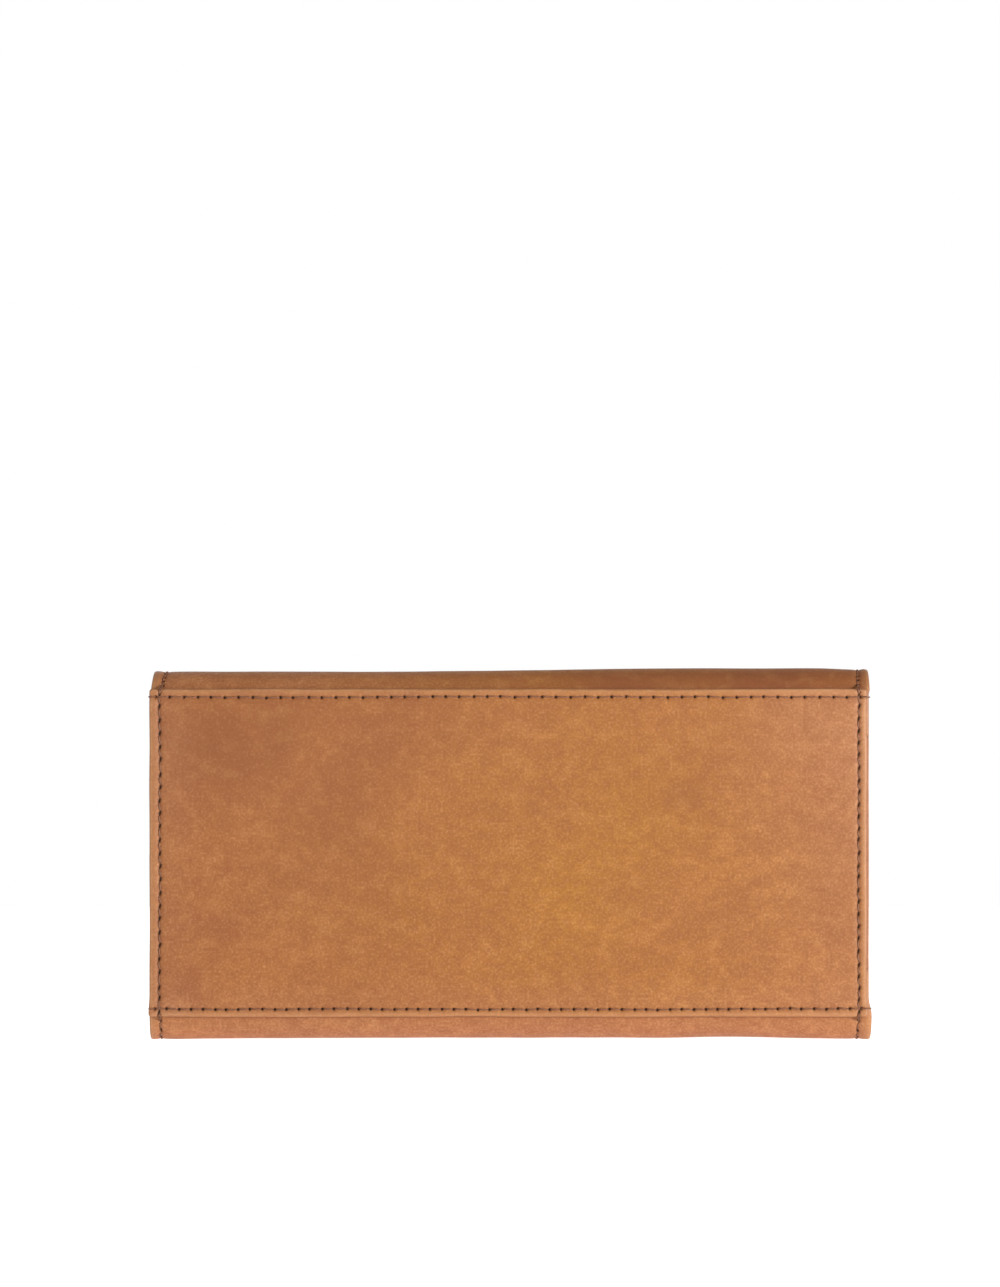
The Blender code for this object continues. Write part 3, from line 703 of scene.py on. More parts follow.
def outer_leather():
    """Smooth waxed cognac leather: clouded colour, fine grain, hairlines, punched holes painted
    near-black for their shade, painted shade and sheen, margins partly painted highlight.
    """
    n = Nodes("cognac_leather")
    rest = n.attribute("rest")
    hole, cut, margin_burnish_and_highlight = n.split(n.attribute("marks"))
    # The patina attribute: darkening with painted shade, painted sheen, golden tone.
    darkening_and_shade, painted_sheen, gold = n.split(n.attribute("patina"))
    cloud = n.noise(rest, 24, 4, 0.55, 0.8)
    patches = n.noise(n.scaled(rest, (1, 1.4, 1), 0.5, (3, 1, 0)), 80, 5, 0.6, 0.4)
    smudge = n.noise(n.scaled(rest, (1, 1.15, 1), 0.3, (2, 4, 0)), 190, 2, 0.5, 0.3)
    mottle = n.noise(rest, 480, 3, 0.6)
    speck = n.noise(n.scaled(rest, (1, 1, 1), 0, (5, 2, 0)), 1500, 2)
    hair = n.noise(n.scaled(rest, (0.5, 2.4, 1), 0.9, (1, 7, 0)), 1100, 2)
    hair = n.times(n.span(hair, 0.64, 0.74), n.span(patches, 0.45, 0.6))
    tone = n.layers(
        (168, 103, 53),
        (n.span(cloud, 0.38, 0.64), 190, 122, 63),
        (n.span(patches, 0.42, 0.72, 0, 0.5), 192, 127, 60),
        (n.times(gold, 0.62), 193, 131, 38),
        # Painted shade, with real smudges on the back panel: darker where the sheet marks it.
        (n.times(darkening_and_shade, 0.6), 136, 80, 45),
        # Painted sheen: paler pink where the sheet paints sheen, highlight or glow from the floor.
        (n.times(painted_sheen, 0.45), 208, 148, 108),
        (n.span(smudge, 0.36, 0.66, 0, 0.3), 152, 90, 52),
        (n.span(smudge, 0.32, 0.5, 0.2, 0), 210, 148, 92),
        (n.span(mottle, 0.36, 0.7, 0, 0.46), 156, 90, 50),
        (n.span(speck, 0.3, 0.62, 0.42, 0), 146, 82, 42),
        (n.times(n.span(speck, 0.52, 0.82, 0, 0.34), n.span(darkening_and_shade, 0, 1.5, 1, 0.3)),
         212, 158, 118),
        # Margins painted lighter: partly burnish, partly painted highlight of the puffed edge.
        (n.times(margin_burnish_and_highlight, n.span(mottle, 0.3, 0.7, 0.25, 0.6)), 214, 160, 112),
        (n.times(hair, 0.16), 214, 160, 108),
        (n.times(cut, 0.5), 150, 96, 66),
        # Painted shade: each stitch hole painted near-black for the shade inside it.
        (hole, 22, 11, 8))
    surface = n.mixed(n.cells(rest, 1900), n.noise(rest, 2400, 3, 0.6), 0.6)
    surface = n.math("SUBTRACT", surface, n.times(hair, 0.3))
    normal = n.bump(surface, 0.045 * MM, 0.55, n.bump(cloud, 0.3 * MM, 0.25))
    rough = n.span(n.mixed(mottle, cloud, 0.4), 0.3, 0.7, 0.44, 0.60)
    rough = n.math("SUBTRACT", rough, n.times(margin_burnish_and_highlight, 0.1))
    return n.set(Base_Color=tone, Roughness=rough, Normal=normal, IOR=1.42, Sheen_Weight=0.08,
                 Sheen_Roughness=0.4, Sheen_Tint=srgb(230, 200, 190))


def inner_leather():
    """Thin drum-dyed leather for pocket, gussets and card leaves."""
    n = Nodes("inner_leather")
    rest = n.attribute("rest")
    hole, cut, _ = n.split(n.attribute("marks"))
    mottle = n.noise(rest, 500, 3, 0.6)
    tone = n.layers((150, 94, 62), (n.span(n.noise(rest, 30), 0.3, 0.7), 178, 116, 78),
                    (n.span(mottle, 0.4, 0.75, 0, 0.4), 132, 80, 52),
                    # Painted shade: each stitch hole painted near-black for the shade inside it.
                    (n.times(cut, 0.7), 104, 62, 42), (hole, 26, 13, 9))
    return n.set(Base_Color=tone, Roughness=n.span(mottle, 0.3, 0.7, 0.5, 0.68),
                 Normal=n.bump(n.cells(rest, 1500), 0.05 * MM, 0.6))


def lining_cloth():
    """Brown cotton twill with diagonal ribs."""
    n = Nodes("twill_lining")
    rest = n.attribute("rest")
    x, y, _ = n.split(rest)
    ribs = n.math("SINE", n.times(n.math("ADD", x, n.times(y, 1.6)), 9000))
    weft = n.math("SINE", n.times(n.math("SUBTRACT", x, y), 14000))
    weave = n.mixed(ribs, weft, 0.3)
    slub = n.noise(n.scaled(rest, (0.2, 3, 1)), 260)
    tone = n.layers((112, 80, 60), (n.span(weave, -1, 1), 160, 122, 94),
                    (n.span(slub, 0.4, 0.7, 0, 0.4), 128, 94, 72))
    return n.set(Base_Color=tone, Roughness=0.85, Normal=n.bump(weave, 0.08 * MM, 0.7),
                 Sheen_Weight=0.25)


def thread_finish():
    """Waxed brown thread of twisted plies."""
    n = Nodes("waxed_thread")
    along, around, which = n.split(n.attribute("ply"))
    strand = n.math("SINE", n.math("ADD", n.times(along, 2600), n.times(around, 4 * pi)))
    shade = n.noise(n.node("ShaderNodeCombineXYZ", {0: which, 1: along})[0], 300)
    tone = n.layers((116, 72, 48), (n.span(strand, -1, 1), 162, 110, 80),
                    (n.span(shade, 0.35, 0.7, 0, 0.5), 138, 92, 66))
    return n.set(Base_Color=tone, Roughness=0.5, Normal=n.bump(strand, 0.06 * MM, 0.6))


def board_finish():
    """Fibre board: two tones of a noise with a little relief."""
    n = Nodes("fibre_board")
    grain = n.noise(n.place(), 300, 5, 0.7)
    tone = n.layers((190, 132, 96), (n.span(grain, 0.3, 0.7), 160, 104, 70))
    return n.set(Base_Color=tone, Roughness=0.7, Normal=n.bump(grain, 0.05 * MM, 0.6))


def tape_finish():
    """Woven zip tape: a herringbone of fine yarns."""
    n = Nodes("woven_tape")
    x, _, z = n.split(n.place())
    fold = n.math("PINGPONG", z, 1.3 * MM)
    yarn = n.math("SINE", n.times(n.math("ADD", x, fold), 14000))
    tone = n.layers((52, 34, 26), (n.span(yarn, -1, 1), 92, 66, 52))
    return n.set(Base_Color=tone, Roughness=0.9, Normal=n.bump(yarn, 0.06 * MM, 0.8))


def brass_finish():
    """Antique brass: brushed, with darker tarnish in patches and fine scratches."""
    n = Nodes("antique_brass")
    where = n.place()
    tarnish = n.noise(where, 320, 4, 0.6)
    brush = n.noise(n.scaled(where, (1, 30, 30)), 900, 2)
    tone = n.layers((196, 160, 98), (n.span(tarnish, 0.35, 0.7), 142, 106, 62))
    rough = n.span(n.math("ADD", brush, tarnish), 0.7, 1.3, 0.22, 0.42)
    return n.set(Base_Color=tone, Roughness=rough, Metallic=1.0,
                 Normal=n.bump(brush, 0.01 * MM, 0.5))


# Each look: a material and the record's slot
COGNAC = outer_leather(), "outer_leather"
INNER = inner_leather(), "inner_leather"
TWILL = lining_cloth(), "lining"
THREAD = thread_finish(), "thread"
TAPE = tape_finish(), "zip_tape"
BRASS = brass_finish(), "old_brass"
BOARD = board_finish(), "board"


# The back panel -------------------------------------------------------------------------

PANEL_LEFT, PANEL_RIGHT = BACK_LOW.x + 0.1 * MM, BACK_HIGH.x - 0.95 * MM
BOARD_RIGHT = BACK_HIGH.x - 0.3 * MM
PANEL_RUN = Run(BACK_Y, BACK_LOW.z).line(BACK_Y, BACK_HIGH.z)
LEFT_SEAM, RIGHT_SEAM = -94.6 * MM, 94.4 * MM


def side_path(x, s0, s1, size=0.35, seed=3):
    s = np.linspace(s0, s1, 60)
    return np.column_stack([x + wobble(s, size * MM, 22 * MM, seed), s])


def level_path(u0, u1, s, size=0.18, seed=5):
    u = np.linspace(u0, u1, 120)
    return np.column_stack([u, s + wobble(u, size * MM, 40 * MM, seed)])


def panel_relief(points):
    """The edges of the layers underneath, faintly pressed through the leather."""
    u, s = points.T
    low = 1 / (1 + np.exp(-(s - 6.9 * MM) / (0.25 * MM)))
    left = 1 / (1 + np.exp(-(u - (LEFT_SEAM + 2.4 * MM)) / (0.3 * MM)))
    return -0.05 * MM * (1 - low) - 0.06 * MM * (1 - left) * bell(s - 22 * MM, 26 * MM)


def spot(u, s, x, z, wide, tall):
    """A soft spot about a place, in millimetres."""
    return np.exp(-(((u / MM - x) / wide) ** 2 + ((s / MM - z) / tall) ** 2))


def panel_patina(u, s):
    """Painted shade: darker at the upper left and towards the top, away from the light at the
    right; golden right of the middle; painted sheen at the ends and painted glow from the
    floor along the foot; a few small dark smudges."""
    cloud, fine = (clouds(u / size, s / size, 4.2) for size in (0.03, 0.011))
    # Painted shade: darker towards the top and in a large patch at the upper left; the small spots
    # are smudges.
    darkening_and_shade = 0.2 * ramp(s, 20, 60)
    for share, *where in ((0.5, -68, 76, 38, 20), (0.26, -48, 40, 16, 20), (0.42, 48, 60, 7, 4),
                          (0.42, 87, 42, 4, 6), (0.3, 12, 56, 5, 3), (0.3, 30, 34, 9, 5)):
        darkening_and_shade += share * spot(u, s, *where)
    # Painted sheen at the right, more so higher up, and at the left end; painted floor glow along
    # the foot and at the lower left corner.
    painted_sheen = ramp(u, 50, 48) * (0.35 + 0.65 * ramp(s, 25, 50))
    painted_sheen += 0.45 * ramp(-u, 80, 16) + 0.4 * ramp(-s, -12, 10)
    painted_sheen += 0.6 * spot(u, s, -93, 2, 7, 2.5)
    gold = spot(u, s, 32, 45, 48, 50) + 0.4 * spot(u, s, -25, 30, 40, 30)
    return np.column_stack([darkening_and_shade * (1 + 0.7 * cloud + 0.5 * fine), painted_sheen * (1 + 0.6 * cloud),
                            gold * (1 + 0.8 * cloud)])


def panel_flare(points):
    """The panel spreads a little at its lower corners."""
    u, s = points.T
    spread = np.where(u < 0, -0.25 * MM, 0.35 * MM) * (1 - ramp(s, 1, 5))
    return along_x(spread * ramp(np.abs(u), 90, 6))


def round_end(mark, edge, under):
    """A row's last strand, drawn round the panel's end and the leather behind it."""
    out = MM if edge > 0 else -MM
    corners = [(mark[0], 0.55), (mark[0] + out * 0.35, 0.1), (edge - out * 0.5, -0.03),
               (edge + out * 0.12, 0.12), (edge + out * 0.17, 0.9), (under + out * 0.17, 1.5),
               (under + out * 0.15, 2.5), (under - out * 0.6, 2.8)]
    return crossing([(x, BACK_Y + y * MM, BACK_LOW.z + mark[1]) for x, y in corners], (0, 0, 1))


def make_back_panel():
    length = PANEL_RUN.length
    edge = outline(PANEL_LEFT, PANEL_RIGHT, 0.05 * MM, length - 0.05 * MM, (0.8,) * 4, seed=2,
                   wander=0.16, warp=panel_flare)
    across = PANEL_LEFT + 0.4 * MM, PANEL_RIGHT - 0.4 * MM
    up = 0.4 * MM, length - 0.4 * MM
    seams = {
        "top": Seam(level_path(*across, length - 2.3 * MM), 3.75, seed=11, ends=(1.3, 1.2)),
        "bottom": Seam(level_path(*across, 2.2 * MM, seed=8), 3.25, seed=12, ends=(1.0, 1.1)),
        "left": Seam(side_path(LEFT_SEAM, *up), 3.65, True, 13, (0.9, 1.1), -1),
        "right": Seam(side_path(RIGHT_SEAM, *up, 0.25, 4), 3.3, True, 14, (0.9, 1.1), -1)}
    panel = sheet("back_panel_leather", PANEL_RUN, edge, COGNAC, seams=seams.values(), seed=1.0,
                  relief=panel_relief, patina=panel_patina)
    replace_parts(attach(panel, "wallet_back"), "back_panel")
    behind = {"top": 0.05 * MM, "bottom": 0.45 * MM}
    for name, seam in seams.items():
        wraps = []
        if name in behind:
            wraps = [round_end(seam.marks[0], PANEL_LEFT, PANEL_LEFT + 0.1 * MM),
                     round_end(seam.marks[-1], PANEL_RIGHT, BOARD_RIGHT + behind[name])]
        thread = stitches(f"stitches_back_{name}", PANEL_RUN, [seam], more=wraps)
        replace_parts(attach(thread, "wallet_back"), f"back_seam_{name}")


# Over the top and down the front --------------------------------------------------------

UPPER = upper_run()
UPPER_LINING = upper_run(LINING_DEPTH)
CREST_SPLIT_Y = (WRAP_Y + FLAP_Y) / 2
FLAP_LEFT, FLAP_RIGHT = FLAP_LOW.x - 0.5 * MM, FLAP_HIGH.x + 0.8 * MM
SNAP_Z = (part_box("snap_cap")[0].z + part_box("snap_cap")[1].z) / 2


def split_at(run):
    """The distance along an upper run at which the crest is divided."""
    s = np.linspace(0, run.length, 4000)
    y, _, _, nz = run.at(s)
    return float(s[np.argmin(np.abs(y - CREST_SPLIT_Y) + (nz < 0.99))])


def at_height(run, z, last=False):
    """The first or last distance along a run at which it has this height."""
    s = np.linspace(0, run.length, 8000)
    return float(s[np.abs(run.at(s)[1] - z) < 0.03 * MM][-1 if last else 0])


UPPER_SPLIT = split_at(UPPER)
PANEL_TOP_S = at_height(UPPER, BACK_HIGH.z)


def tucked(u, hide):
    """Draws the ends of a leather in where it runs behind the back panel: out of sight at the
    left, flush with the board at the right."""
    return hide * (np.clip(u, PANEL_LEFT + 1.0 * MM, BOARD_RIGHT) - u)


def crest_taper(points):
    """The strip's left end draws in as it turns over the top."""
    u, s = points.T
    draw = np.clip((UPPER.at(s)[1] - 94 * MM) / (6 * MM), 0, 1)
    shift = np.where(u < 0, 0.5 * MM * draw, -0.1 * MM * draw)
    shift = shift * ramp(np.abs(u), 80, 10)
    shift += tucked(u, 1 - ramp(s - PANEL_TOP_S, -1.3, 1.0))
    return along_x(shift)


def base_taper(points):
    """The base's ends draw in behind the panel."""
    u, s = points.T
    over = s - at_height(LOWER, BACK_LOW.z, last=True)
    reach = np.where(u < 0, 1.0 * MM, 5.0 * MM)
    return along_x(tucked(u, smooth((over - 0.4 * MM) / reach)))


def crest_seam(side, x, top_x, seed):
    """A side seam from the back panel's edge up over the crest."""
    s = np.linspace(PANEL_TOP_S + 1.3 * MM, UPPER_SPLIT, 40)
    rise = smooth((s - s[0]) / (11 * MM))
    u = x + (top_x - x) * rise + wobble(s, 0.15 * MM, 9 * MM, seed)
    return Seam(np.column_stack([side * u, s]), 1.75, seed=seed, ends=(0, 1.0))


def over_edge(x, from_z, edge_z, run, mark):
    """Two strands from a hole in the back panel, over its edge and into the leather behind."""
    low, near = (run.place(mark[:1], mark[1:], h * MM)[0] for h in (-0.7, 0.05))
    up = MM if edge_z > from_z else -MM
    strands = []
    for gap in (-0.28 * MM, 0.28 * MM):
        bent = (x + near[0]) / 2 + gap
        strands.append(crossing([
            (x, BACK_Y + 0.6 * MM, from_z), (x, BACK_Y - 0.05 * MM, from_z + up * 0.3),
            (bent, BACK_Y - 0.12 * MM, edge_z - up * 0.3),
            (bent, BACK_Y + 0.3 * MM, edge_z + up * 0.22), near, low], (1, 0, 0)))
    return strands


def crest_patina(u, s):
    """Painted shade low on the band by the panel's edge, and darker towards the right; painted
    highlight, paler at the left and most on top of the fold; a small rubbed spot in the
    middle. It fades out down the front."""
    cloud = clouds(u / 0.02, s / 0.02, 9.2)
    top = ramp(s - PANEL_TOP_S, 4.5, 3)
    past = 1 - ramp(s - UPPER_SPLIT, 0, 20)
    # Painted shade, darker towards the right and strongest low on the band by the panel's edge.
    darkening_and_shade = (0.3 + 1.25 * ramp(u, -60, 120)) * (1 + 0.4 * cloud)
    # Painted highlight: paler at the left, most on top of the fold.
    painted_highlight = (1 - ramp(u, -100, 140)) * (1 + 0.5 * cloud) * (0.8 + 1.3 * top)
    rub = bell(u - 1.5 * MM, 1.6 * MM) * bell(s - PANEL_TOP_S - 5 * MM, 1.6 * MM)
    gold = 0.9 * bell(u - 20 * MM, 60 * MM)
    return np.column_stack([darkening_and_shade * (1 - 0.75 * top), painted_highlight + 0.5 * rub, gold]) * past[:, None]


def make_upper():
    """One leather from behind the back panel over both folds to the flap's edge."""
    edge = outline(FLAP_LEFT, FLAP_RIGHT, 0, UPPER_SPLIT, (0.2, 0.2, JOIN, JOIN), 0.0,
                   warp=crest_taper)
    ends = flap_seam_path()[[0, -1], 0]
    left = crest_seam(-1, 93.9 * MM, -ends[0], 22)
    right = crest_seam(1, 94.3 * MM, ends[1], 23)
    rear = sheet("crest_leather_rear", UPPER, edge, COGNAC, seams=(left, right), seed=2.0,
                 soft=0.15, patina=crest_patina, join=UPPER_SPLIT)
    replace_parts(rear, "crest_tuck", "crest_leather")
    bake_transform(rear)
    for name, seam, x in (("left", left, LEFT_SEAM), ("right", right, RIGHT_SEAM)):
        bridge = over_edge(x, BACK_HIGH.z - 1.4 * MM, BACK_HIGH.z, UPPER, seam.marks[0])
        thread = stitches(f"stitches_crest_{name}", UPPER, [seam], more=bridge)
        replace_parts(thread, f"tuck_seam_{name}", f"crest_seam_{name}")
        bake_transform(thread)


def flap_seam_path():
    """Down one side from the crest, round the lower edge and up the other side."""
    inset, radius = 2.9 * MM, 8.1 * MM
    low = UPPER.length - inset
    left, right = FLAP_LEFT + inset, FLAP_RIGHT - inset
    down = np.linspace(UPPER_SPLIT, low - radius, 40)
    draw = 1 - ramp(down - UPPER_SPLIT, 0, 20)
    path = [(left + 1.2 * MM * k, s) for s, k in zip(down, draw)]
    for x, start in ((left + radius, pi), (right - radius, pi / 2)):
        for turn in start - pi / 2 * np.arange(17) / 16:
            path.append((x + radius * cos(turn), low - radius + radius * sin(turn)))
    path += [(right + 0.15 * MM * k, s) for s, k in zip(down[::-1], draw[::-1])]
    return np.array(path)


def make_flap():
    edge = outline(FLAP_LEFT, FLAP_RIGHT, UPPER_SPLIT, UPPER.length, (JOIN, JOIN, 11, 11), 0.0,
                   warp=crest_taper)
    seam = Seam(flap_seam_path(), 3.5, True, 31, (1.5, 1.5), -1)
    flap = sheet("flap_leather_outer", UPPER, edge, COGNAC, seams=(seam,), seed=2.0, soft=0.15,
                 patina=crest_patina, join=UPPER_SPLIT)
    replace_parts(flap, "flap_leather")
    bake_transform(flap)
    thread = stitches("stitches_flap", UPPER, [seam])
    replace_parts(thread, "flap_seam")
    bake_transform(thread)


def lining(name, run, u, s, corners, join, bores=()):
    """A sheet of lining cloth between two x and two distances."""
    return sheet(name, run, outline(*u, *s, corners, 0.0), TWILL, thickness=LINING,
                 bores=bores, join=join)


def make_upper_lining():
    split = split_at(UPPER_LINING)
    start = at_height(UPPER_LINING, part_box("back_lining")[1].z) + 0.2 * MM
    low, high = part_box("flap_lining")
    across = low.x + 1.5 * MM, high.x - 0.3 * MM
    rear = lining("crest_lining_rear", UPPER_LINING, across, (start, split), (JOIN,) * 4, split)
    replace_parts(rear, "crest_lining")
    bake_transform(rear)
    front = lining("flap_lining_inner", UPPER_LINING, across,
                   (split, UPPER_LINING.length - 0.3 * MM), (JOIN, JOIN, 11, 11), split)
    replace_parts(front, "flap_lining")
    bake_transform(front)


# Front wall, base and linings -----------------------------------------------------------

LOWER = lower_run()
LOWER_LINING = lower_run(LINING_DEPTH)
STUD_S = FRONT_HIGH.z - SNAP_Z


def base_patina(u, s):
    """Painted glow from the bright floor, paler low down on the fold; darker higher up."""
    z = LOWER.at(s)[1]
    # Darker higher up; painted glow from the floor below about 12 mm.
    return np.column_stack([0.3 * ramp(z, 10, 40),
                            1.3 * (1 - smooth(z / (12 * MM))), 0 * u])


def make_lower():
    """One leather from the front wall's hem down, under the base and behind the panel."""
    left, right = BASE_LOW.x - 0.25 * MM, BASE_HIGH.x + 0.8 * MM
    edge = outline(left, right, 0, LOWER.length, (1.5, 1.5, 0.5, 0.5), 0.12, 41, base_taper)
    end = at_height(LOWER, BACK_LOW.z, last=True) - 0.5 * MM
    seams = [Seam(side_path(x, 0.4 * MM, end, 0.2, seed), 3.4, True, seed, (0.6, 0.3))
             for x, seed in ((LEFT_SEAM, 42), (RIGHT_SEAM, 43))]
    seams.append(Seam(level_path(left + 4.2 * MM, right - 4.2 * MM, 3 * MM, seed=44), 3.5,
                      seed=44))
    lower = sheet("front_and_base_leather", LOWER, edge, COGNAC, seams=seams, seed=3.0,
                  soft=0.15, bores=[(0, STUD_S, 1.2 * MM)], patina=base_patina)
    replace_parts(lower, "front_leather", "base_leather")
    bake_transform(lower)
    names = (("left", "front_seam_left", "base_seam_left"),
             ("right", "front_seam_right", "base_seam_right"), ("hem", "front_seam_hem"))
    for (name, *nodes), seam, x in zip(names, seams, (LEFT_SEAM, RIGHT_SEAM, None)):
        bridge = over_edge(x, BACK_LOW.z + 1.0 * MM, BACK_LOW.z, LOWER,
                           seam.marks[-1]) if x else ()
        thread = stitches(f"stitches_front_{name}", LOWER, [seam], more=bridge)
        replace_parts(thread, *nodes)
        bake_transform(thread)


def make_inner_linings():
    """Cloth inside the front wall and over the base, then cloth up the back wall."""
    low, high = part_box("front_lining")
    under = np.linspace(60 * MM, 100 * MM, 400)
    split = float(np.interp(-CREST_SPLIT_Y, -LOWER_LINING.at(under)[0], under))
    cloth = lining("front_wall_lining", LOWER_LINING, (low.x, high.x), (0.4 * MM, split),
                   (1.5, 1.5, JOIN, JOIN), split, [(0, STUD_S, 4.2 * MM)])
    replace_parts(cloth, "front_lining")
    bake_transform(cloth)
    centre = (WRAP_Y + BACK_BASE_RADIUS, BACK_BASE_RADIUS)
    run = Run(CREST_SPLIT_Y - 0.05 * MM, LINING_DEPTH, base_lift).line(centre[0], LINING_DEPTH)
    run.arc(*centre, -90, -180).line(WRAP_Y + LINING_DEPTH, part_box("back_lining")[1].z)
    cloth = lining("back_wall_lining", run, (low.x, high.x), (0, run.length),
                   (JOIN, JOIN, 0.5, 0.5), 0)
    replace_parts(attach(cloth, "wallet_back"), "back_lining")


def make_board():
    """The fibre board between panel and lining; its dyed edge shows at the sides."""
    low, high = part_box("back_board")
    run = Run(low.y, BASE_HIGH.z + 0.05 * MM).line(low.y, TUCK_LOW.z - 0.05 * MM)
    edge = outline(BASE_LOW.x + 0.1 * MM, BOARD_RIGHT, 0, run.length, (0.2,) * 4, 0.08, 51)
    board = sheet("stiffener_board", run, edge, BOARD, thickness=high.y - low.y)
    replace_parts(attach(board, "wallet_back"), "back_board")


def make_card_slots():
    """Two columns of card slots: a tall leaf behind a short one, sewn at sides and foot."""
    for column in ("left", "right"):
        for row, seed, hem in (("upper", 61, 3 * MM), ("lower", 63, 2 * MM)):
            node = f"card_slot_{column}_{row}"
            low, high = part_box(node)
            run = Run(high.y, high.z).line(high.y, low.z)
            edge = outline(low.x, high.x, 0, run.length, (2.2, 2.2, 0.8, 0.8), 0.1, seed)
            seams = [Seam(side_path(x, 1.2 * MM, run.length - hem, 0.1, seed), 3.0, True, seed,
                          (0.6, 0.3)) for x in (low.x + 2 * MM, high.x - 2 * MM)]
            seams.append(Seam(level_path(low.x + 3.5 * MM, high.x - 3.5 * MM, 2.2 * MM, 0.05,
                                         seed), 3.0, seed=seed))
            leaf = sheet(f"card_leaf_{column}_{row}", run, edge, INNER, seams,
                         thickness=high.y - low.y, seed=seed, soft=0.05)
            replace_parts(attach(leaf, "wallet_back"), node)
            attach(stitches(f"stitches_{node}", run, seams), "wallet_back")


# Coin pocket and gussets ----------------------------------------------------------------

BAG_WALL = 0.7 * MM
POCKET = PocketRun(POCKET_LOW, POCKET_HIGH, BAG_WALL)


def make_pocket():
    """One leather folded round the foot; the ends are drawn together and sewn."""
    half = POCKET.reach
    edge = outline(-half, half, 0, POCKET.length, (1.0,) * 4, 0.05, 71)
    side = (POCKET_HIGH.z - POCKET_LOW.z) - 4 * MM
    seams = []
    for start, end in ((2 * MM, side), (POCKET.length - side, POCKET.length - 2 * MM)):
        seams += [Seam(side_path(x, start, end, 0.05, 72), 3.2, True, 72)
                  for x in (-half + 1.9 * MM, half - 1.9 * MM)]
    for s in (3 * MM, POCKET.length - 3 * MM):
        seams.append(Seam(level_path(-80 * MM, 80 * MM, s, 0.05, 73), 3.2, seed=73))
    pocket = sheet("coin_pocket_leather", POCKET, edge, INNER, seams,
                   thickness=BAG_WALL, step=2.0 * MM, seed=7.0, soft=0.1)
    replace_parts(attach(pocket, "pocket"), "coin_pocket")
    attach(stitches("stitches_coin_pocket", POCKET, seams, 0.16 * MM), "pocket")


def gusset_corners(compartment):
    """Half a section, as (x, y): a flange on the wall, the fold, a flange on the pocket."""
    low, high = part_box(f"gusset_{compartment}_right")
    half = GUSSET_LEATHER / 2
    outer, fold, clear = high.x, low.x + half, half + 0.3 * MM
    if compartment == "rear":
        side, wall, leg = -1, low.y + half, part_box("card_slot_right_lower")[1].y + clear
        start = [(outer, wall), (92.2 * MM, wall), (90.4 * MM, leg)]
    else:
        side, leg = 1, high.y - half
        start = [(outer, leg)]
    bag = [(x, POCKET.middle + side * (POCKET.outer(x) + clear))
           for x in np.linspace(fold + 1.9 * MM, 88.2 * MM, 8)]
    near = bag[0][1]
    radius, middle = abs(near - leg) / 2, (near + leg) / 2
    turn = np.radians(np.linspace(90, -90, 13)) * side
    bend = [(fold + radius - radius * cos(a), middle + radius * sin(a)) for a in turn]
    return [*start, *bend, *bag]


def gusset_sheet(name, run, low, high, start, end, join=None):
    """One folded side, or a part of it from start to end, cut on a slope at the top."""
    drop = 7 * MM

    def slope(points):
        fall = smooth((points[:, 1] - 4 * MM) / (run.length - 8 * MM))
        upper = np.clip(2 * (points[:, 0] - low) / (high - low) - 1, 0, 1)
        return along_x(-drop * fall * upper)

    ends = [JOIN if join == place else 0.8 for place in (start, start, end, end)]
    edge = outline(low, high, start, end, ends, 0.0, warp=slope)
    return sheet(name, run, edge, INNER, thickness=GUSSET_LEATHER,
                 step=1.2 * MM, seed=8.0, soft=0.12, join=join)


def make_gussets():
    """Four folded sides, which open like a bellows between the walls and the pocket. The
    front ones are split at the fold, a hair apart, for one half moves with the pocket."""
    for side, sign in (("left", -1), ("right", 1)):
        for compartment in ("rear", "front"):
            node = f"gusset_{compartment}_{side}"
            low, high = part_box(node)
            run = SideRun([(sign * x, y) for x, y in gusset_corners(compartment)])
            name = f"bellows_{compartment}_{side}"
            if compartment == "rear":
                gusset = gusset_sheet(name, run, low.z, high.z, 0, run.length)
                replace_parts(gusset, node)
                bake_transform(gusset)
                continue
            fold = run.along[np.argmin(np.abs(run.line[:, 0]))]
            near, far = fold - FOLD_GAP / 2, fold + FOLD_GAP / 2
            gusset = gusset_sheet(name, run, low.z, high.z, 0, near, near)
            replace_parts(gusset, node)
            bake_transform(gusset)
            flange = gusset_sheet(f"{name}_flange", run, low.z, high.z, far, run.length, far)
            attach(flange, "pocket")


# Zip ------------------------------------------------------------------------------------

TEETH_LOW, TEETH_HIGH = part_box("zip_teeth_front")
SLIDER_LOW, SLIDER_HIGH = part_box("zip_slider")
PULL_LOW, PULL_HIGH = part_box("zip_pull")
SLIDER_X = (SLIDER_LOW.x + SLIDER_HIGH.x) / 2
PULL_Z = (PULL_LOW.z + PULL_HIGH.z) / 2
TOOTH_PITCH = 2.0 * MM


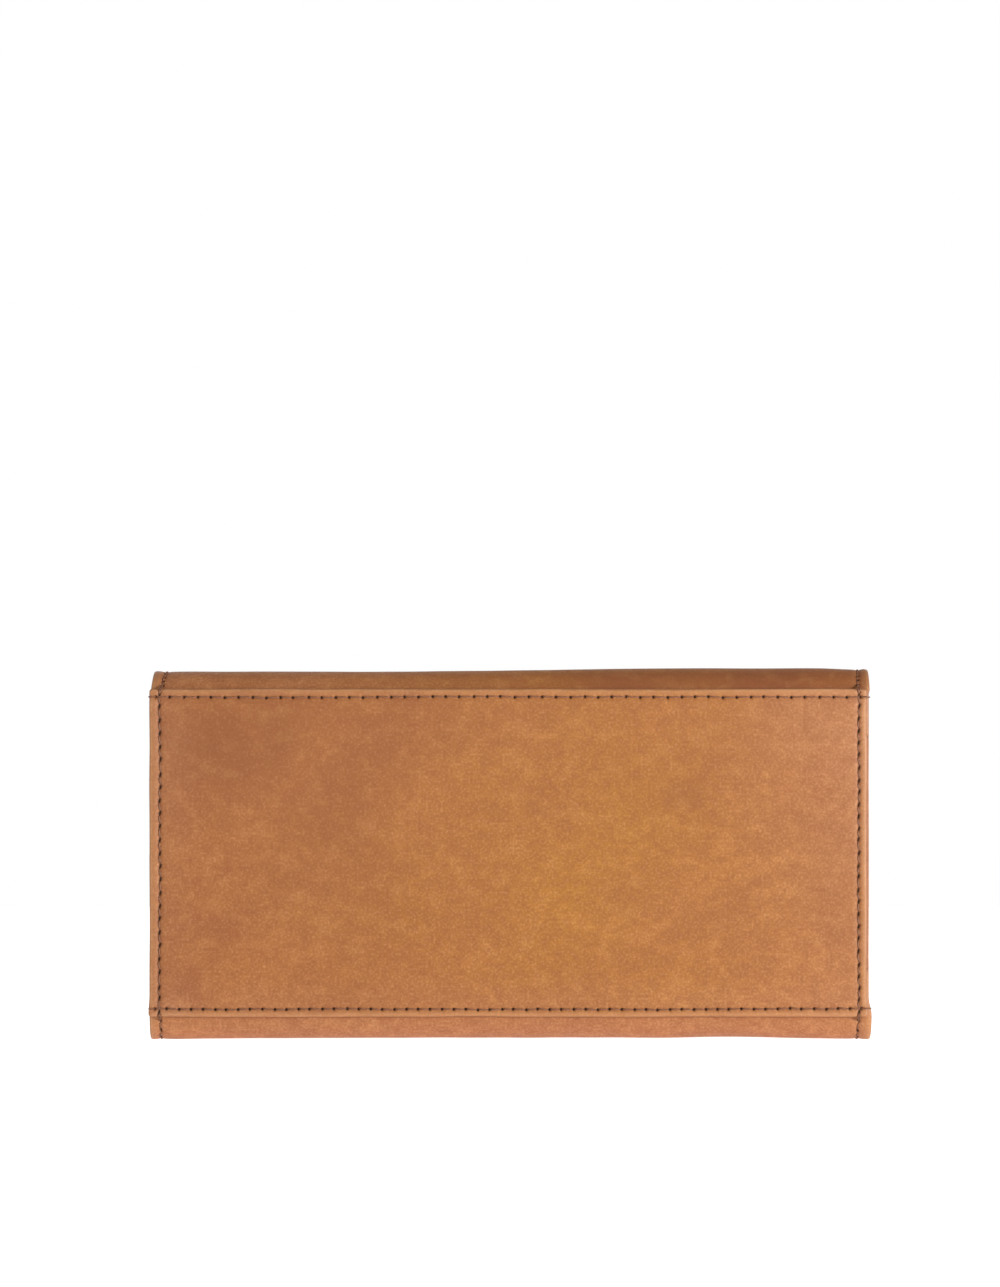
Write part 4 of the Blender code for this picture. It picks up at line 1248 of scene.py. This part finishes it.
def plate(loops, thickness, bevel, place=None):
    """(points, faces) of a flat shape with holes and rounded edges, centred on its plane."""
    data = bpy.data.curves.new("plate", "CURVE")
    data.dimensions, data.fill_mode = "2D", "BOTH"
    data.extrude, data.bevel_depth = thickness / 2 - bevel, bevel
    data.bevel_resolution, data.offset = 3, -bevel
    for loop in loops:
        spline = data.splines.new("POLY")
        spline.points.add(len(loop) - 1)
        for point, (x, y) in zip(spline.points, loop):
            point.co = (x, y, 0, 1)
        spline.use_cyclic_u = True
    obj = linked("plate", data)
    bpy.context.view_layer.update()
    made = bpy.data.meshes.new_from_object(
        obj.evaluated_get(bpy.context.evaluated_depsgraph_get()))
    shape = bmesh.new()
    shape.from_mesh(made)
    bmesh.ops.remove_doubles(shape, verts=shape.verts, dist=1e-6)
    bmesh.ops.recalc_face_normals(shape, faces=shape.faces)
    if place:
        shape.transform(place)
    shape.verts.ensure_lookup_table()
    points = [tuple(v.co) for v in shape.verts]
    faces = [tuple(v.index for v in f.verts) for f in shape.faces]
    shape.free()
    bpy.data.objects.remove(obj)
    bpy.data.meshes.remove(made)
    bpy.data.curves.remove(data)
    return points, faces


def rounded(points, radius, count=5):
    """A polygon with its corners rounded off."""
    out = []
    for i in range(len(points)):
        before, corner, after = (np.array(points[(i + k) % len(points)]) for k in (-1, 0, 1))
        a, b = (corner + (p - corner) / np.linalg.norm(p - corner) * radius
                for p in (before, after))
        for t in np.arange(count + 1) / count:
            out.append(tuple((1 - t) ** 2 * a + 2 * t * (1 - t) * corner + t * t * b))
    return out


def metal(name, shapes):
    """One brass piece from several (points, faces)."""
    points, faces = [], []
    for some, more in shapes:
        faces += [tuple(i + len(points) for i in f) for f in more]
        points += some
    piece = mesh_piece(name, points, faces, BRASS)
    piece.modifiers.new("edges", "EDGE_SPLIT").split_angle = radians(40)
    return piece


def in_mm(points):
    return [(x * MM, y * MM) for x, y in points]


def mirrored(points):
    """A closed shape from one half of it, in order, and the other half below it."""
    return [*points, *((x, -y) for x, y in points[::-1])]


def make_zip():
    """Woven tapes in the pocket's mouth, two rows of separate teeth and their stops."""
    z, height = (TEETH_LOW.z + TEETH_HIGH.z) / 2, TEETH_HIGH.z - TEETH_LOW.z
    head = in_mm([(-0.36, 0.35), (-0.46, -0.55), (0.46, -0.55), (0.36, 0.35), (0.62, 0.9)])
    for place, side in (("rear", -1), ("front", 1)):
        low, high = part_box(f"zip_tape_{place}")
        y = high.y if side > 0 else low.y
        ends = (high.z + 0.8 * MM, low.z)[::side]
        run = Run(y, ends[0]).line(y, ends[1])
        edge = outline(low.x, high.x, 0, run.length, (0.4,) * 4, 0.0)
        tape = sheet(f"woven_tape_{place}", run, edge, TAPE,
                     thickness=high.y - low.y, seed=9.0, soft=0.03)
        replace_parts(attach(tape, "pocket"), f"zip_tape_{place}")
        bead = abs(y - POCKET.middle)
        shape = [(-0.62 * MM, bead), (-0.62 * MM, 0.9 * MM), *head, (0.62 * MM, bead)]
        tooth = plate([rounded(shape, 0.14 * MM, 3)], height, 0.14 * MM)
        shapes = []
        for i in range(int((TEETH_HIGH.x - TEETH_LOW.x - 2 * MM) / TOOTH_PITCH)):
            x = TEETH_LOW.x + 1.5 * MM + (i + (0.5 if side > 0 else 0)) * TOOTH_PITCH
            shapes.append(([(x + px, POCKET.middle + side * py, z + pz)
                            for px, py, pz in tooth[0]], tooth[1]))
        teeth = metal(f"brass_teeth_{place}", shapes)
        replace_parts(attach(teeth, "pocket"), f"zip_teeth_{place}")
        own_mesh(teeth)
    for node in ("zip_top_stop_rear", "zip_top_stop_front", "zip_bottom_stop"):
        low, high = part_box(node)
        middle, half = (low + high) / 2, (high - low) / 2
        loop = rounded([(-half.x, -half.y), (half.x, -half.y), (half.x, half.y),
                        (-half.x, half.y)], 0.35 * MM)
        place = Matrix.Translation(middle)
        stop = metal(f"crimped_{node}", [plate([loop], 2 * half.z, 0.25 * MM, place)])
        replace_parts(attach(stop, "pocket"), node)


def make_slider():
    """A waisted body of two plates joined by a post, with a bridge for the pull."""
    scale = (SLIDER_HIGH.y - SLIDER_LOW.y) / 6

    def level(loop, low, high, bevel):
        place = Matrix.Translation((SLIDER_X, POCKET.middle, (low + high) / 2))
        return plate([loop], high - low, bevel, place)

    body = [(-5.5, -2.1), (-2.0, -2.3), (2.2, -3.0), (4.3, -2.7), (5.5, -1.2)]
    loop = rounded([(x * MM, y * scale) for x, y in mirrored(body)], 0.6 * MM)
    top, under, foot = TEETH_HIGH.z + 1.3 * MM, TEETH_LOW.z - 0.3 * MM, POCKET_HIGH.z
    post = mirrored(in_mm([(1.6, -0.5), (4.0, -0.3)]))
    middle = (under + top - 0.5 * MM) / 2
    shapes = [level(loop, top - 1.0 * MM, top, 0.22 * MM),
              level([(x * 0.86, y * 0.42) for x, y in loop], foot, under, 0.2 * MM),
              level(rounded(post, 0.15 * MM), middle - 1.5 * MM, middle + 1.5 * MM, 0.05 * MM)]
    for side in (-1, 1):
        lip = [(-5.2, 1.75), (-2.0, 1.95), (2.2, 2.65), (4.2, 2.4), (4.4, 2.75), (2.2, 3.0),
               (-2.0, 2.3), (-5.3, 2.1)]
        lip = rounded([(x * MM, side * y * scale) for x, y in lip], 0.12 * MM, 3)
        shapes.append(level(lip[::-side], foot + 0.4 * MM, top - 0.4 * MM, 0.06 * MM))
    slider = metal("slider_body", [*shapes, slider_bridge(top)])
    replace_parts(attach(slider, "slider"), "zip_slider")


def slider_bridge(plate_top):
    """The bowed bridge that stands on the plate and holds the pull's bar."""
    foot = plate_top - PULL_Z - 0.2 * MM
    reach, inner = 2.0 * MM, 1.0 * MM
    turns = np.radians(np.arange(0, 181, 15))
    loop = [(reach, foot), *((reach * cos(a), reach * sin(a)) for a in turns), (-reach, foot),
            (-inner, foot), *((inner * cos(a), inner * sin(a)) for a in turns[::-1]),
            (inner, foot)]
    place = Matrix.Translation((SLIDER_X, POCKET.middle, PULL_Z))
    return plate([loop], 1.2 * MM, 0.18 * MM, place @ Matrix.Rotation(pi / 2, 4, "X"))


def make_pull():
    """A flat drop-shaped pull with a slot for the bridge and an eye at its end."""
    wide = (PULL_HIGH.y - PULL_LOW.y) / 2
    right = PULL_HIGH.x - SLIDER_X
    tip = PULL_LOW.x - SLIDER_X + wide
    upper = [(right, 0.72 * wide), (-3.6 * MM, 0.72 * wide), (-6.5 * MM, 0.6 * wide),
             (tip + 1.5 * MM, wide)]
    turns = np.radians(np.arange(90, 271, 12))[::3]
    body = [(right, -0.72 * wide), *upper, *((tip + wide * cos(a), wide * sin(a)) for a in turns),
            *((x, -y) for x, y in upper[:0:-1])]
    slot = in_mm([(-0.5, -1.0), (-3.1, -1.0), (-3.1, 1.0), (-0.5, 1.0)])
    around = np.radians(np.arange(0, -360, -15))
    eye = [(tip + 1.1 * MM * cos(a), 1.1 * MM * sin(a)) for a in around]
    place = Matrix.Translation((SLIDER_X, POCKET.middle, PULL_Z))
    loops = [rounded(body, 0.35 * MM), rounded(slot, 0.3 * MM), eye]
    pull = metal("pull_tab", [plate(loops, PULL_HIGH.z - PULL_LOW.z, 0.16 * MM, place)])
    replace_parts(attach(pull, "pull"), "zip_pull")


# Press stud -----------------------------------------------------------------------------


def make_snap():
    """A domed cap with a rolled edge outside the flap, a ring socket, and the stud."""
    def ring(x, y, wide, high, start, end, count):
        """Part of a turned section, from an angle to another."""
        return [(x + wide * sin(a), y + high * cos(a)) for a in np.linspace(start, end, count)]

    low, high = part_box("snap_cap")
    radius, rise, post = high.x / MM, (high.y - FLAP_Y) / MM, (FLAP_Y - low.y) / MM
    cap = lathe("snap_cap_dome", [
        *ring(0, 0.62 * rise, radius * 0.86, 0.38 * rise, 0, pi / 2, 12),
        (radius * 0.88, rise * 0.52),
        *ring(radius - 0.32, 0.42, 0.32, 0.32, -pi / 4, pi, 10),
        (1.6, 0.1), (1.6, -post), (0, -post)], (FLAP_Y, SNAP_Z))
    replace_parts(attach(cap, "flap"), "snap_cap")
    low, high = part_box("snap_socket")
    depth, outer = (high.y - low.y) / MM, high.x / MM
    socket = lathe("snap_socket_ring", [
        (outer - 0.3, 0), (outer, -0.3),
        *ring(outer - 0.35, 0.35 - depth, 0.35, 0.35, pi / 2, pi, 7),
        (3.5, -depth), (3.1, 0.25 - depth), (2.9, 0.6 - depth), (2.9, -0.3), (1.9, -0.3),
        (1.9, 0), (outer - 0.3, 0)], (high.y, SNAP_Z))
    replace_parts(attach(socket, "flap"), "snap_socket")
    low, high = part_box("snap_stud")
    rise = (high.y - low.y) / MM
    stud = lathe("snap_stud_head", [
        *ring(0, 0.72 * rise, 2.2, 0.28 * rise, 0, pi / 2, 9), (2.15, 0.62 * rise),
        (1.85, 0.45 * rise), (1.95, 0.3 * rise), (3.9, 0.26 * rise), (4.5, 0.15 * rise),
        (4.6, 0), (1.2, 0), (1.2, 0.6 * rise), (0, 0.6 * rise)], (low.y, SNAP_Z))
    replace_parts(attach(stud, "front_wall"), "snap_stud")
    low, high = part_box("snap_post")
    size, disc = (high.y - low.y) / MM, high.x / MM
    post = lathe("snap_post_rivet", [
        (0, size), (0.9, size), (0.9, 0.4), (disc - 0.2, 0.4), (disc, 0.25), (disc, 0.12),
        (disc - 0.25, 0), (1.3, 0), (0.9, 0.1), (0, 0.1)], (low.y, SNAP_Z))
    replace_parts(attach(post, "front_wall"), "snap_post")


make_back_panel()
make_upper()
make_flap()
make_upper_lining()
make_lower()
make_inner_linings()
make_board()
make_card_slots()
make_pocket()
make_gussets()
make_zip()
make_slider()
make_pull()
make_snap()


# Stage ----------------------------------------------------------------------------------

CAMERA_DISTANCE, CAMERA_HEIGHT = 1.2, 0.0503
FRAME_HEIGHT = 0.3478
SENSOR = 36.0
CENTRE = (0.0026, 0.0569)
LAMP_PLACE, LAMP_TARGET = (0.75, -0.7, 0.12), (0, 0, 0.05)
LAMP_SIZE, LAMP_POWER = 0.4, 8.1


def make_camera():
    data = bpy.data.cameras.new("camera")
    camera = linked("camera", data)
    data.sensor_width = SENSOR
    data.lens = SENSOR * CAMERA_DISTANCE / FRAME_HEIGHT
    camera.location = (0, BACK_Y - CAMERA_DISTANCE, CAMERA_HEIGHT)
    camera.rotation_euler = (pi / 2, 0, 0)
    data.shift_x, data.shift_y = -CENTRE[0] / FRAME_HEIGHT, CENTRE[1] / FRAME_HEIGHT
    bpy.context.scene.camera = camera


def make_lamp():
    """A large soft lamp at the right."""
    data = bpy.data.lights.new("key", "AREA")
    data.size, data.energy = LAMP_SIZE, LAMP_POWER
    lamp = linked("key", data)
    lamp.location = LAMP_PLACE
    way = Vector(LAMP_TARGET) - Vector(LAMP_PLACE)
    lamp.rotation_euler = way.to_track_quat("-Z", "Y").to_euler()


def make_world():
    """Soft studio light, weaker from straight above and from behind the camera. The camera
    itself sees plain white."""
    world = bpy.data.worlds.new("studio")
    bpy.context.scene.world = world
    world.use_nodes = True
    tree = world.node_tree

    def node(kind, *values, **settings):
        made = tree.nodes.new(kind)
        for key, value in settings.items():
            setattr(made, key, value)
        for socket, value in zip(made.inputs, values):
            if isinstance(value, bpy.types.NodeSocket):
                tree.links.new(value, socket)
            else:
                socket.default_value = value
        return made.outputs

    _, y, z = node("ShaderNodeSeparateXYZ", node("ShaderNodeTexCoord")["Generated"])
    level, behind = (node("ShaderNodeMapRange", *values, interpolation_type="SMOOTHSTEP")[0]
                     for values in ((z, 0.1, 0.8, 1.0, 0.0), (y, -0.3, 0.6, 0.45, 1.0)))
    light = node("ShaderNodeMath", level, behind, operation="MULTIPLY")[0]
    light = node("ShaderNodeMath", light, 0.89, 0.26, operation="MULTIPLY_ADD")[0]
    seen = node("ShaderNodeLightPath")["Is Camera Ray"]
    light = node("ShaderNodeMapRange", seen, 0.0, 1.0, light, 1.0)[0]
    background = tree.nodes["Background"].inputs
    tree.links.new(light, background["Strength"])
    background["Color"].default_value = (1, 1, 1, 1)


def make_stage():
    n = Nodes("pale_floor")
    seen = n.node("ShaderNodeLightPath")["Is Camera Ray"]
    n.set(Base_Color=(0.8, 0.8, 0.8, 1), Roughness=0.6, Emission_Color=(1, 1, 1, 1),
          Emission_Strength=n.span(seen, 0, 1, 0.57, 0.9))
    bpy.ops.mesh.primitive_plane_add(size=6)
    floor = bpy.context.object
    floor.name = "floor"
    floor.data.materials.append(n.material)
    bpy.context.scene.view_settings.view_transform = "Standard"


make_camera()
make_world()
make_stage()
make_lamp()
